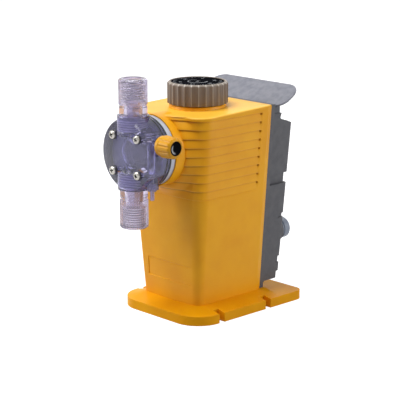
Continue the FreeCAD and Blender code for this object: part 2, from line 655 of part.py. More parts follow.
def rear_housing():
    """The grey rear shell: flange, tapered box with grooves, control panel slope, neck and hinge knuckle."""
    wall, front = value("boxWall"), value("casingRear")
    top = value("neckFoot") + value("boxOverrun")
    outer = tapered_box(0, value("boxFoot"), top, front).cut(above_panel(0))
    outer = outer.fuse(flange_plate(0, front, value("flangeRear")))
    neck = Part.makeBox(2 * value("neckHalfWidth"), value("neckRear") - front,
                        value("neckTop") - value("neckFoot") + value("neckOverrun"),
                        Vector(-value("neckHalfWidth"), front, value("neckFoot") - value("neckOverrun")))
    outer = outer.fuse(neck)
    under = value("hingeToFace") - value("hoodThickness")
    tilt = math.radians(value("hoodTilt"))
    near = value("flangeRear") - 1
    near_top = value("hingeZ") + under / math.cos(tilt) + (near - value("hingeY")) * math.tan(tilt)
    cheek = [Vector(0, near, value("neckTop") - 1), Vector(0, value("neckRear"), value("neckTop") - 1),
             Vector(0, value("neckRear"), value("hingeZ") + under - value("cheekGap")),
             Vector(0, near, near_top - value("cheekGap"))]
    cheek_plate = Part.Face(corners(cheek)).extrude(Vector(value("cheekThickness"), 0, 0))
    for place in (value("neckRearHalf"), -value("neckHalfWidth")):
        side = cheek_plate.copy()
        side.translate(Vector(place, 0, 0))
        outer = outer.fuse(side)
    half = value("knuckleHalf")
    web = Part.makeBox(2 * half, 2 * value("knuckleRadius") - 1, value("hingeZ") - value("neckTop") + 1,
                       Vector(-half, value("hingeY") - value("knuckleRadius") + 0.5, value("neckTop") - 1))
    outer = outer.fuse([web, hinge_bar(value("knuckleRadius"), -half, half)])
    hollow = tapered_box(wall, value("boxFoot") + wall, top, front - 1).cut(above_panel(wall))
    ribs = side_groove(value("gripFoot"), value("gripHeight"), value("gripDepth"), value("grooveFront"))
    grip_wall = tapered_box(value("gripDepth") + wall, value("gripFoot") - wall,
                            value("gripFoot") + value("gripHeight") + wall, front - 1)
    reach = 4 * value("boxFootHalfWidth")
    band = Part.makeBox(reach, reach, value("gripHeight") + 2 * wall,
                        Vector(-reach / 2, value("grooveFront") - wall, value("gripFoot") - wall))
    hollow = hollow.cut(band.cut(grip_wall))
    gland_spot = (value("glandX"), value("glandZ"))
    outer = outer.fuse(round_bar(value("glandPad"), value("glandWall") - 2 * wall, value("glandPadFace"),
                                 gland_spot))
    posts = [panel_drill(value("panelPostRadius"), -value("panelBoardDrop"), 0, u) for u in panel_posts()]
    well, behind = value("rearWellRadius"), 2 * value("boxFootRear")
    posts += [round_bar(well + value("rearWellWall"), front, behind, spot) for spot in rear_screw_spots()]
    hollow = hollow.cut(posts)
    rib_front = value("boxFootRear") - value("ribReach")
    tools = [hollow, ribs,
             side_groove(value("lowerRibFoot"), value("lowerRibHeight"), value("ribDepth"), rib_front),
             side_groove(value("upperRibFoot"), value("upperRibHeight"), value("ribDepth"), rib_front),
             side_groove(value("boxFoot") - 1, value("plinthHeight") + 1, value("plinthRecess"),
                         value("flangeRear") + value("plinthGap")),
             gasket_ring(0), hinge_bar(value("hingePinRadius"), -half - 1, half + 1),
             panel_tool(value("windowWidth"), value("windowDepth"), -wall - 1, 1, value("windowCentre")),
             round_bar(value("glandBody"), value("glandWall") - 4 * wall, value("glandPadFace") + 1,
                       gland_spot)]
    tools += [panel_drill(value("keyRadius") + value("keyGap"), -wall - 1, 1, value(key_across(i)))
              for i in range(len(KEYS))]
    tools += [round_bar(value("rearScrewRadius") + value("runningGap"), front - 1, value("flangeRear"), spot)
              for spot in rear_screw_spots()]
    tools += [round_bar(well, value("flangeRear"), behind, spot) for spot in rear_screw_spots()]
    return outer.cut(tools).removeSplitter()


def gasket_ring(slack):
    """The flat sealing ring between casing and rear housing."""
    front, inset = value("casingRear"), value("gasketInset")
    thick = value("gasketThickness")
    outer = flange_plate(inset + slack, front, front + thick)
    return outer.cut(flange_plate(inset + value("gasketWidth") - slack, front - 1, front + thick + 1))


node("rear_housing", shaped(rear_housing()))
node("casing_gasket", shaped(gasket_ring(0.02)))


def pan_screw(radius, head, head_height, seat, tip, a, b, axis, out):
    """A pan head screw along an axis: head beyond the seat on the out side, cross recess in its end."""
    crown = f"({seat}) + {out} * ({head_height})"
    spans = [(tip, seat), (seat, crown)] if out > 0 else [(seat, tip), (crown, seat)]
    shank = cylinder(radius, *spans[0], a, b, axis)
    cap = cylinder(head, *spans[1], a, b, axis)
    return cut(fuse(shank, cap), *cross(crown, a, b, axis, out))


def cross(crown, a, b, axis, out):
    """The two bars of a cross recess in a screw's end."""
    bars = []
    for long, wide in (("crossLength", "crossWidth"), ("crossWidth", "crossLength")):
        if axis == "Y":
            ends = (f"({crown}) - crossDepth", f"({crown}) + 1") if out > 0 else (f"({crown}) - 1",
                                                                                 f"({crown}) + crossDepth")
            bars.append(box(f"({a}) - {long} / 2", f"({a}) + {long} / 2", *ends,
                            f"({b}) - {wide} / 2", f"({b}) + {wide} / 2"))
        else:
            bars.append(box(f"({a}) - {long} / 2", f"({a}) + {long} / 2",
                            f"({b}) - {wide} / 2", f"({b}) + {wide} / 2", f"({crown}) - 1",
                            f"({crown}) + crossDepth"))
    return bars


# Base plate: slab, sloping skirts beside the casing's foot, four open slots and the screws from below

def base_plate():
    """The base plate as a body: a rounded slab with skirts, slots and screw counterbores."""
    half, front, rear = "baseHalfWidth", "baseFront", "baseRear"
    body = doc.addObject("PartDesign::Body", "BasePlate")
    sketch = outline_sketch(body, "XY_Plane", [("-" + half, front), (half, front), (half, rear),
                                               ("-" + half, rear)])
    pad = body.newObject("PartDesign::Pad", "Slab")
    pad.Profile = sketch
    bind(pad, Length="baseThickness")
    doc.recompute()
    for place, radius in ((front, "baseFrontCorner"), (rear, "baseRearCorner")):
        edges = [f"Edge{i}" for i, edge in enumerate(body.Shape.Edges, start=1)
                 if len(edge.Vertexes) == 2 and abs(edge.tangentAt(edge.FirstParameter).z) > 0.99
                 and abs(edge.Vertexes[0].Y - value(place)) < 0.01]
        square = body.Tip
        fillet = body.newObject("PartDesign::Fillet", "Corner")
        fillet.Base = (square, edges)
        bind(fillet, Radius=radius)
        doc.recompute()
    return body


def skirt():
    """The raised seat under the casing and its slopes down to the slab's front and side edges."""
    margin, rim = value("skirtMargin"), value("ledgeWidth")
    thick, ledge, rear = value("baseThickness"), value("ledge"), value("skirtRear")
    corner = value("baseFrontCorner") - margin
    foot = rounded_front(thick, value("baseHalfWidth") - margin, value("baseFront") + margin, corner, corner,
                         rear)
    seat = rounded_front(ledge, casing_half(ledge) + rim, casing_front(ledge) - rim,
                         value("footCorner") + rim, value("farCorner") + rim, rear)
    return solid_between(foot, seat).fuse(Part.Face(foot).extrude(Vector(0, 0, -thick / 2)))


slots = [box("baseHalfWidth - slotDepth", "baseHalfWidth + 1", f"{place} - slotWidth / 2",
             f"{place} + slotWidth / 2", -1, "ledge + 1") for place in ("slotFrontPlace", "slotRearPlace")]
slots += [box("-baseHalfWidth - 1", "slotDepth - baseHalfWidth", f"{place} - slotWidth / 2",
              f"{place} + slotWidth / 2", -1, "ledge + 1") for place in ("slotFrontPlace", "slotRearPlace")]
counterbores, base_screws = [], []
for side in (1, -1):
    for place in ("baseScrewFront", "baseScrewRear"):
        across = f"{side} * baseScrewX"
        counterbores.append(cylinder("baseScrewHead + 2 * screwClearance", -1, "screwSeat", across, place))
        counterbores.append(cylinder("baseScrewRadius + screwClearance", -1, "ledge + 1", across, place))
        base_screws.append(pan_screw("baseScrewRadius", "baseScrewHead", "baseScrewHeadHeight", "screwSeat",
                                     "screwPostTop - 2 - screwTipGap", across, place, "Z", -1))
node("base_plate", cut(fuse(base_plate(), shaped(skirt())), *slots, *counterbores))
node("base_screws", group(*base_screws))

rear_screws = []
for (x, z) in rear_screw_spots():
    rear_screws.append(pan_screw("rearScrewRadius", "rearScrewHead", "rearScrewHeadHeight", "flangeRear",
                                 "casingRear - rearScrewDepth + screwTipGap", x, z, "Y", 1))
node("rear_screws", group(*rear_screws))


# Hood

def hood():
    """The grey hood: a flat plate with four rounded corners and two lugs on the hinge line under it."""
    half, length, thick = value("hoodHalfWidth"), value("hoodLength"), value("hoodThickness")
    far, near = value("hoodFarCorner"), value("hoodNearCorner")
    spots = [(half, 0, near), (half, length, far), (-half, length, far), (-half, 0, near)]
    edges = []
    ends = []
    for (x, y, radius) in spots:
        inward_x, inward_y = -math.copysign(radius, x), radius if y == 0 else -radius
        slant = 1 - math.sqrt(0.5)
        on_side, on_end = Vector(x, y + inward_y, 0), Vector(x + inward_x, y, 0)
        middle = Vector(x + inward_x * slant, y + inward_y * slant, 0)
        first, last = (on_end, on_side) if (x > 0) == (y == 0) else (on_side, on_end)
        ends.append((first, middle, last))
    for i, (first, middle, last) in enumerate(ends):
        edges.append(Part.Arc(first, middle, last).toShape())
        following = ends[(i + 1) % len(ends)][0]
        edges.append(Part.makeLine(last, following))
    plate = Part.Face(Part.Wire(edges)).extrude(Vector(0, 0, thick))
    rim = [edge for edge in plate.Edges if abs(edge.BoundBox.ZMin - edge.BoundBox.ZMax) < 1e-6]
    plate = plate.makeFillet(0.4 * thick, rim)
    pin_y, pin_z = value("hingeToEdge"), thick - value("hingeToFace")
    start = value("knuckleHalf") + value("sideGap")
    lugs = []
    for side in (start, -start - value("lugWidth")):
        barrel = Part.makeCylinder(value("knuckleRadius"), value("lugWidth"), Vector(side, pin_y, pin_z),
                                   Vector(1, 0, 0))
        block = Part.makeBox(value("lugWidth"), 2 * value("knuckleRadius"), 0.4 * thick - pin_z,
                             Vector(side, pin_y - value("knuckleRadius"), pin_z))
        lugs += [barrel, block]
    bore = Part.makeCylinder(value("hingePinRadius") + value("runningGap"), 3 * half,
                             Vector(-1.5 * half, pin_y, pin_z), Vector(1, 0, 0))
    return plate.fuse(lugs).cut(bore).removeSplitter()


hood_plate = shaped(hood())
hood_turn = Rotation(Vector(1, 0, 0), value("hoodTilt"))
hood_pin_inside = Vector(0, value("hingeToEdge"), value("hoodThickness") - value("hingeToFace"))
hood_plate.Placement = Placement(Vector(0, value("hingeY"),
                                        value("hingeZ")) - hood_turn.multVec(hood_pin_inside),
                                 hood_turn)
node("hood", hood_plate)
node("hood_pin", cylinder("hingePinRadius", "-knuckleHalf - sideGap - lugWidth",
                          "knuckleHalf + sideGap + lugWidth",
                          "hingeY", "hingeZ", "X"))

# Control panel


def panel_box(width, depth, low, high, across=0):
    """A block on the panel's slope, bound to the sheet."""
    thing = doc.addObject("Part::Box", "Box")
    bind(thing, Length=width, Width=depth, Height=f"({high}) - ({low})")
    return on_panel(thing, f"({across}) - ({width}) / 2", f"-({depth}) / 2", low)


def panel_cylinder(radius, low, high, across=0, down=0):
    """A round piece along the panel's normal, bound to the sheet."""
    thing = doc.addObject("Part::Cylinder", "Cylinder")
    bind(thing, Radius=radius, Height=f"({high}) - ({low})")
    return on_panel(thing, across, down, low)


window = ("windowWidth", "windowDepth")
key_holes = [panel_cylinder("keyRadius + keyGap", -1, "overlayThickness + 1", key_across(i))
             for i in range(len(KEYS))]
node("panel_overlay", cut(panel_box("2 * overlayHalfWidth", "2 * overlayHalfDepth", 0, "overlayThickness"),
                          panel_box(*window, -1, "overlayThickness + 1", "windowCentre"), *key_holes))
node("display_window", panel_box(*window, "-boxWall", "overlayThickness + 0.4", "windowCentre"))
node("display_module", panel_box("windowWidth - 2", "windowDepth - 1", "-panelBoardDrop", "-boxWall",
                                 "windowCentre"))
node("control_board", panel_box("2 * panelBoardHalf", "2 * panelBoardHalfDepth",
                                "-panelBoardDrop - boardThickness", "-panelBoardDrop"))
for i, name in enumerate(KEYS):
    stem = panel_cylinder("keyRadius", "keyFlangeFoot", "keyProud", key_across(i))
    flange = panel_cylinder("keyRadius + keyLip", "keyFlangeFoot", "keyFlangeFoot + keyFlange",
                            key_across(i))
    node(name, fuse(stem, flange))
node("key_switches", group(*[panel_cylinder("switchRadius", "-panelBoardDrop",
                                            "keyFlangeFoot - keyTravel - keyGap",
                                            key_across(i)) for i in range(len(KEYS))]))

line = (0, "shaftZ", "Y")


def tube(inner, outer, start, end, at=line):
    """A turned ring between two radii and two places along its axis."""
    return turned([(inner, start), (outer, start), (outer, end), (inner, end)], *at)


# Electrics in the casing's foot
node("power_board", box("-powerBoardHalf", "powerBoardHalf", "powerBoardPlace", "powerBoardFace",
                        "casingFloor", "powerBoardTop"))
core = box("-transformerWidth / 2", "transformerWidth / 2", "powerBoardFace + coreSet",
           "powerBoardFace + transformerDepth - coreSet",
           "transformerFoot", "transformerFoot + transformerHeight")
winding = box("coreLeg - transformerWidth / 2", "transformerWidth / 2 - coreLeg", "powerBoardFace",
              "powerBoardFace + transformerDepth", "transformerFoot + coreSet",
              "transformerFoot + transformerHeight - coreSet")
node("transformer", fuse(core, winding))
node("capacitors", group(*[cylinder("capacitorRadius", "powerBoardFace", "powerBoardFace + capacitorLength",
                                    f"{side} * capacitorSpacing / 2", "capacitorPlace",
                                    "Y") for side in (1, -1)]))
gland_at = ("glandX", "glandZ", "Y")
node("cable_gland", turned([("glandSealRadius", "glandWall - glandTail"),
                            ("glandBody", "glandWall - glandTail"), ("glandBody", "glandPadFace"),
                            ("glandRadius - glandFlangeStep", "glandPadFace"),
                            ("glandRadius - glandFlangeStep", "glandPadFace + glandFlange"),
                            ("glandBody", "glandPadFace + glandFlange"), ("glandBody", "glandThreadEnd"),
                            ("glandSealRadius", "glandThreadEnd")], *gland_at))
node("gland_nut", turned([("glandBody", "glandPadFace + glandFlange"),
                          ("glandRadius", "glandPadFace + glandFlange"),
                          ("glandRadius", "glandNutEnd - glandNutRound"),
                          ("glandRadius - glandSealWall", "glandNutEnd"),
                          ("glandCable + 1", "glandNutEnd"), ("glandCable + 1", "glandThreadEnd"),
                          ("glandBody", "glandThreadEnd")], *gland_at))
node("gland_seal", tube("glandCable", "glandSealRadius", "glandPadFace - glandFlange", "glandThreadEnd",
                        gland_at))

# Solenoid and shaft line, all turned about the head's axis
node("pole_core", turned([("poleBore", "padFace"), ("solenoidRadius", "padFace"),
                          ("solenoidRadius", "poleFace"), ("poleTubeRadius", "poleFace"),
                          ("poleTubeRadius", "poleTubeEnd"), ("poleBore", "poleTubeEnd")], *line))
node("pole_bush", tube("shaftRadius + runningGap", "poleBore", "padFace", "padFace + poleBushLength"))
node("solenoid_yoke", turned([("solenoidRadius - yokeWall", "poleFace"), ("solenoidRadius", "poleFace"),
                              ("solenoidRadius", "yokeRear"), ("yokeBore", "yokeRear"),
                              ("yokeBore", "coilEnd"), ("solenoidRadius - yokeWall", "coilEnd")], *line))
node("yoke_bush", tube("plungerRadius + runningGap", "yokeBore", "coilEnd", "yokeRear"))
node("coil_bobbin", turned([("bobbinInner", "poleFace"), ("bobbinFlangeRadius", "poleFace"),
                            ("bobbinFlangeRadius", "poleFace + bobbinFlange"),
                            ("bobbinOuter", "poleFace + bobbinFlange"),
                            ("bobbinOuter", "coilEnd - bobbinFlange"),
                            ("bobbinFlangeRadius", "coilEnd - bobbinFlange"),
                            ("bobbinFlangeRadius", "coilEnd"), ("bobbinInner", "coilEnd")], *line))
node("coil_winding", tube("bobbinOuter", "windingRadius", "poleFace + bobbinFlange",
                          "coilEnd - bobbinFlange"))
node("plunger", tube("shaftRadius", "plungerRadius", "plungerFront", "plungerRear"))
node("drive_shaft", turned([(0, "insertRear"), ("shaftRadius", "insertRear"),
                            ("shaftRadius", "shaftTail - shaftEdge"),
                            ("shaftRadius - shaftEdge", "shaftTail"), (0, "shaftTail")], *line))
node("spring_collar", tube("shaftRadius", "collarRadius", "collarFront", "collarRear"))


def return_spring():
    """The square wire spring between the backing ring and the shaft's collar."""
    start, end = value("bossFace"), value("collarFront")
    wire, mean, slack = value("springWire"), value("springRadius"), value("springSlack")
    travel = end - start - wire - 2 * slack
    helix = Part.makeLongHelix(travel / value("springTurns"), travel, mean)
    inner, outer, half = mean - wire / 2, mean + wire / 2, wire / 2
    section = corners([Vector(inner, 0, -half), Vector(outer, 0, -half), Vector(outer, 0, half),
                       Vector(inner, 0, half)])
    coil = Part.Wire(helix.Edges).makePipeShell([section], True, True)
    coil.Placement = Placement(Vector(0, start + half + slack, value("shaftZ")), AXIS_TURN["Y"])
    return coil


node("return_spring", shaped(return_spring()))

# Diaphragm stack
half_spots = [("headScrewHalf", f"shaftZ {sign} headScrewHalf") for sign in "+-"]
half_spots += [("-headScrewHalf", f"shaftZ {sign} headScrewHalf") for sign in "+-"]
ring_body = turned([("ringBore", "ringFront + ringRecessDepth"),
                    ("ringRecess - ringSlope", "ringFront + ringRecessDepth"), ("ringRecess", "ringFront"),
                    ("ringRadius", "ringFront"), ("ringRadius", "bossFace"), ("ringBore", "bossFace")], *line)
node("backing_ring", cut(ring_body, *[cylinder("screwHole", "ringFront - 1", "bossFace + 1", x, z, "Y")
                                      for x, z in half_spots]))
node("diaphragm_insert", turned([(0, "ringFront"), ("insertRadius", "ringFront"),
                                 ("insertRadius", "insertRear - insertEdge"), ("insertCrown", "insertRear"),
                                 (0, "insertRear")], *line))
flex, hub_face = "headRear + membraneThickness", "headRear - hubRise"
membrane = turned([(0, hub_face), ("diaphragmHub - hubSlope", hub_face), ("diaphragmHub", "headRear"),
                   ("diaphragmRim", "headRear"), ("diaphragmRim", "ringFront"),
                   ("ringRecess - 1", "ringFront"), ("ringRecess - 1 - flexSlope", flex),
                   ("diaphragmHub + flexSlope", flex), ("diaphragmHub", "ringFront"), (0, "ringFront")],
                  *line)
node("diaphragm", cut(membrane, *[cylinder("screwHole", "headRear - 1", "ringFront + 1", x, z, "Y")
                                  for x, z in half_spots]))

# Pump head
disc = turned([(0, "headFront"), ("headRadius - headEdge", "headFront"),
               ("headRadius - headEdge * 0.3", "headFront + headEdge * 0.3"),
               ("headRadius", "headFront + headEdge"), ("headRadius", "headRear"), (0, "headRear")], *line)
valve_at = (0, "valveY")
bosses = [cylinder("valveBossRadius", "upperBossFoot", "upperBossTop", *valve_at),
          cylinder("valveBossRadius", "lowerBossFoot", "lowerBossTop", *valve_at),
          cylinder("ventBossRadius", "headRadius - 12", "ventBossEnd - 1", "ventY", "ventZ", "X"),
          cylinder("ventSpigotRadius", "headRadius - 12", "ventSpigotEnd", "ventY", "ventZ", "X"),
          cylinder("nippleBossRadius", "nippleBossFoot", "nippleBossTop", "nippleX", "ventY")]
chamber = turned([(0, "headRear + 1"), ("chamberRadius", "headRear + 1"), ("chamberRadius", "headRear"),
                  ("chamberRadius - 4", "headRear - chamberDepth"), (0, "headRear - chamberDepth")], *line)
passages = [chamber,
            cylinder("socketRadius", "dischargeSeat", "upperBossTop + 1", *valve_at),
            cylinder("socketRadius", "lowerBossFoot - 1", "lowerSocketTop", *valve_at),
            cylinder("channelRadius", "upperChannel", "dischargeSeat + 1", *valve_at),
            cylinder("channelRadius", "lowerSocketTop - 1", "lowerChannel", *valve_at),
            cylinder("channelRadius", "valveY", "headRear - chamberDepth + 1", 0, "upperChannel", "Y"),
            cylinder("channelRadius", "valveY", "headRear - chamberDepth + 1", 0, "lowerChannel", "Y"),
            cylinder("needleRadius + needleGap", 0, "ventSpigotEnd + 1", "ventY", "ventZ", "X"),
            cylinder("nippleBore", "nippleBossFoot", "ventZ", "nippleX", "ventY"),
            cylinder("nippleStem", "nippleBossFoot - 1", "nippleBossFoot + 6", "nippleX", "ventY")]
passages += [cylinder("screwHole", "headFront - 1", "headRear + 1", x, z, "Y") for x, z in half_spots]
passages += [cylinder("washerRadius + spotFaceGap", "valveY - valveBossRadius", "headFront", x, z, "Y")
             for x, z in half_spots]
passages.append(cylinder("jointRadius + jointSeatGap", "jointFoot", "lowerBossFoot", *valve_at))
passages.append(box("-valveBossRadius", "valveBossRadius", "headRear", "headRear + valveBossRadius",
                    "lowerBossFoot - 1", "upperBossTop + 1"))
node("pump_head", cut(fuse(disc, *bosses), *passages))
node("head_screws", group(*[pan_screw("headScrewRadius", "headScrewHead", "headScrewHeadHeight",
                                      "washerFront", "headScrewEnd - screwTipGap", x, z, "Y", -1)
                            for x, z in half_spots]))
node("head_washers", group(*[tube("screwHole", "washerRadius", "washerFront", "headFront", (x, z, "Y"))
                             for x, z in half_spots]))


# Valves, stacked upright on the head's front axis

def valve(name, seat):
    """A seat, a ball and its guide, standing on the formula for the seat's foot."""
    top = f"({seat}) + seatThickness"
    rim = "socketRadius - socketFit"
    node(f"{name}_seat", turned([("seatBore", seat), (rim, seat), (rim, top), ("seatBore", top)],
                                0, "valveY"))
    ball = doc.addObject("Part::Sphere", "Ball")
    bind(ball, Radius="ballRadius")
    node(f"{name}_ball", put(ball, 0, "valveY", f"({seat}) + ballHeight"))
    guide_top = f"({seat}) + seatThickness + guideHeight"
    flows = [cylinder("guideFlow", top, f"({guide_top}) + 1", f"{a} * guideBore",
                      f"valveY + {b} * guideBore")
             for a, b in ((1, 0), (0, 1), (-1, 0), (0, -1))]
    node(f"{name}_guide", cut(cylinder(rim, top, guide_top, *valve_at),
                              cylinder("guideBore", f"({top}) - 1", f"({guide_top}) - guideBridge",
                                       *valve_at), *flows))


valve("discharge", "dischargeSeat")
valve("suction", "suctionSeat")


def joint(face, way, end):
    """A clear fluted joint: spigot in the head's socket, smooth collar, neck groove, flutes and the port."""
    def along(distance):
        return f"({face}) + {way} * ({distance})"
    bore = "jointBore"
    port_floor = f"({end}) - {way} * portDepth"
    edge = f"({end}) - {way} * jointEdge"
    body = turned([(bore, along("-spigotLength")), ("socketRadius - socketFit", along("-spigotLength")),
                   ("socketRadius - socketFit", face), ("jointCollar", face), ("jointCollar",
                                                                          along("collarLength")),
                   ("neckRadius", along("collarLength")), ("neckRadius", along("collarLength + neckLength")),
                   ("jointRadius", along("collarLength + neckLength + neckSlope")), ("jointRadius", edge),
                   ("jointRadius - jointEdge", end), ("portRadius", end), ("portRadius", port_floor),
                   (bore, port_floor)], 0, "valveY")
    flute_ends = (along("collarLength"), f"({end}) + {way}")
    lower, upper = flute_ends if way > 0 else flute_ends[::-1]
    return fluted(body, "fluteRadius", "jointRadius + fluteProud", lower, upper, "fluteCount")


node("discharge_joint", joint("upperBossTop", 1, "jointTop"))
node("suction_joint", joint("lowerBossFoot", -1, "jointFoot"))

# Air vent
vent_at = ("ventY", "ventZ", "X")
knob = turned([("knobHollow", "knobStart"), ("knobCollarRadius", "knobStart"),
               ("knobCollarRadius", "knobBodyStart"), ("knobRadius", "knobBodyStart + knobStep"),
               ("knobEndRadius", "knobEnd - knobEndRound"), ("knobEndRadius - knobEndRound", "knobEnd"),
               ("capRadius", "knobEnd"), ("capRadius", "knobEnd - capThickness"),
               (0, "knobEnd - capThickness"), (0, "needleEnd"), ("knobHollow", "needleEnd")], *vent_at)
node("vent_knob", fluted(knob, "knobRibRadius", "knobRadius + knobRibRadius - knobRibCut",
                         "knobBodyStart + 2 * knobStep", "knobEnd + 1", "knobRibs"))
node("vent_cap", turned([(0, "knobEnd - capThickness"), ("capRadius", "knobEnd - capThickness"),
                         ("capRadius", "knobEnd - capEdge"), ("capRadius - capCrown", "knobEnd + capRise"),
                         (0, "knobEnd + capRise")], *vent_at))
node("vent_needle", turned([(0, "needleTip - needlePoint"), ("needleRadius", "needleTip"),
                            ("needleRadius", "needleHeadStart"), ("needleHead", "needleHeadStart"),
                            ("needleHead", "needleEnd"), (0, "needleEnd")], *vent_at))
node("vent_nipple", turned([("nippleBore", "nippleFoot"), ("nippleRadius", "nippleFoot"),
                            ("nippleRadius", "nippleBossFoot - 2"), ("nippleStem + 0.8",
                                                                     "nippleBossFoot - 2"),
                            ("nippleStem + 0.8", "nippleBossFoot"), ("nippleStem", "nippleBossFoot"),
                            ("nippleStem", "nippleBossFoot + 6"), ("nippleBore", "nippleBossFoot + 6")],
                           "nippleX", "ventY"))

# Stroke dial, its spindle, cam and bearings
dial_at = (0, "dialY")
dial = turned([("spindleRadius", "dialFoot + 3"), ("dialHub", "dialFoot + 3"), ("dialHub", "dialWebFoot"),
               ("dialRadius - dialSkirt", "dialWebFoot"), ("dialRadius - dialSkirt", "dialFoot"),
               ("dialRadius", "dialFoot"), ("dialRadius", "dialTop - dialBevel"),
               ("dialRadius - dialBevel", "dialTop"), ("dialFaceRadius", "dialTop"),
               ("dialFaceRadius", "dialFaceFloor"), ("spindleRadius", "dialFaceFloor")], *dial_at)
node("stroke_dial", fluted(dial, "dialFluteRadius", "dialRadius + dialFluteRadius - dialFluteDepth",
                           "dialFoot - 1",
                           "dialTop + 1", "fluteDialCount"))
node("dial_face", cylinder("dialFaceRadius - 0.1", "dialFaceFloor", "dialFaceFloor + dialFaceThickness",
                           *dial_at))
node("dial_spindle", cylinder("spindleRadius", "spindleFoot", "spindleTop", *dial_at))
node("spindle_bush", tube("spindleRadius + runningGap", "spindleBushRadius", "roofBossFoot", "collarSeatTop",
                          (0, "dialY", "Z")))


def stroke_cam():
    """The spiral cam on the spindle: its radius grows evenly over the dial's sweep."""
    steps = 36
    sweep = math.radians(value("camSweep"))
    spots = []
    for i in range(steps + 1):
        turn = -math.pi / 2 - sweep * i / steps
        radius = value("camLow") + value("camRise") * i / steps
        spots.append(Vector(radius * math.cos(turn), radius * math.sin(turn), 0))
    curve = Part.BSplineCurve()
    curve.interpolate(spots)
    rim = Part.Wire([curve.toShape(), Part.makeLine(spots[-1], spots[0])])
    cam = Part.Face(rim).extrude(Vector(0, 0, value("camThickness")))
    cam = cam.cut(Part.makeCylinder(value("spindleRadius"), value("camThickness") + 2, Vector(0, 0, -1)))
    cam.Placement = Placement(Vector(0, value("dialY"), value("camFoot")), Rotation())
    return cam


node("stroke_cam", shaped(stroke_cam()))
node("cam_bracket", cut(box("-bracketHalf", "bracketHalf", "yokeRear", "bracketRear", "bracketFoot",
                            "bracketFoot + bracketThickness"),
                        cylinder("spindleRadius + runningGap", "bracketFoot - 1",
                                 "bracketFoot + bracketThickness + 1",
                                 *dial_at)))

doc.recompute()
for thing in doc.Objects:
    if "Invalid" in thing.State or "Error" in thing.State:
        raise RuntimeError(f"{thing.Name} ({thing.Label}) failed to recompute: {thing.State}")
for name, thing in nodes.items():
    if thing.Shape.isNull() or not thing.Shape.isValid() or not thing.Shape.Solids:
        raise RuntimeError(f"{name} has no valid solid")
for name, thing in nodes.items():
    thing.Shape.exportStep(f"parts/{name}.step")
print(len(nodes), "sub-parts written")
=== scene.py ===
"""Looks of a small diaphragm metering pump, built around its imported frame.

The pump head looks towards -Y, the vent knob towards +X and the control panel towards +Y. Every length is in
metres, written in millimetres times MM, and places come from the frame wherever a node gives them.
"""
import json
import logging
import math
from dataclasses import dataclass, field
from enum import Enum

import bmesh
import bpy
import numpy as np
from mathutils import Matrix, Vector


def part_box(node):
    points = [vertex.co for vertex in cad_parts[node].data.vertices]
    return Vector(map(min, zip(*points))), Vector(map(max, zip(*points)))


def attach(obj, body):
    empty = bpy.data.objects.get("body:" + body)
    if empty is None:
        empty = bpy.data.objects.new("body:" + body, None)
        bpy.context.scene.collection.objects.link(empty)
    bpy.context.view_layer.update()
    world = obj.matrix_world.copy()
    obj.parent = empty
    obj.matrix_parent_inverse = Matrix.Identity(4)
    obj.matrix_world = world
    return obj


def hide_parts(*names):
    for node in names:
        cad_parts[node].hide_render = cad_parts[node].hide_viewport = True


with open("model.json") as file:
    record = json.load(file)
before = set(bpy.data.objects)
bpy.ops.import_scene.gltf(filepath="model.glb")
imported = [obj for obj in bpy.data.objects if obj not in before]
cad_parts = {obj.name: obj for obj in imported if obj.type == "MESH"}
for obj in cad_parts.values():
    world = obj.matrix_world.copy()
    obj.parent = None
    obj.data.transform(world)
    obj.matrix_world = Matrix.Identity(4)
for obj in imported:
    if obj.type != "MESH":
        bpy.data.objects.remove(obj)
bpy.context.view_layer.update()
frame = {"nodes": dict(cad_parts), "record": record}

MM = 0.001
LOG = logging.getLogger("metering_pump")
# Name of the mesh attribute that carries painted light: painted highlights above zero, painted shade below
# zero.
PAINTED_LIGHT_NAME = "wear"


# Surfaces

def clamped(values: np.ndarray) -> np.ndarray:
    """The values held between 0 and 1."""
    return np.clip(values, 0, 1)


def full_turn(columns: int) -> np.ndarray:
    """Even angles round a whole turn."""
    return np.linspace(0, 2 * math.pi, columns, endpoint=False)


def band(inner: float, outer: float, low: float, high: float) -> list[tuple[float, float]]:
    """The four corners of a plain ring's profile."""
    return [(inner, low), (outer, low), (outer, high), (inner, high)]


class Axis(Enum):
    """A turning axis: its own direction and the two directions across it."""

    X = ((1, 0, 0), (0, 1, 0), (0, 0, 1))
    Y = ((0, 1, 0), (1, 0, 0), (0, 0, 1))
    Z = ((0, 0, 1), (1, 0, 0), (0, 1, 0))


@dataclass
class Solid:
    """Vertices, faces and each vertex's painted light and shade, before they become a mesh."""

    vertices: np.ndarray
    faces: list[list[int]]
    # painted light per vertex: above zero a painted highlight, below zero painted shade
    wear: np.ndarray


@dataclass(frozen=True)
class Line:
    """A line in space that round pieces turn about."""

    axis: Axis
    point: tuple[float, float, float] = (0.0, 0.0, 0.0)

    def sweep(self, radius: np.ndarray, height: np.ndarray, turn: np.ndarray) -> np.ndarray:
        """Places points round the line: radius times cosine and sine across it, at a height along the axis.

        Args:
            radius: distances from the line.
            height: coordinates along the axis.
            turn: angles about the line.

        Returns:
            The points, with x, y and z last.
        """
        along, across, over = (np.array(way, float) for way in self.axis.value)
        base = np.array(self.point) * (1 - along)
        ring = np.cos(turn)[..., None] * across + np.sin(turn)[..., None] * over
        return base + radius[..., None] * ring + height[..., None] * along


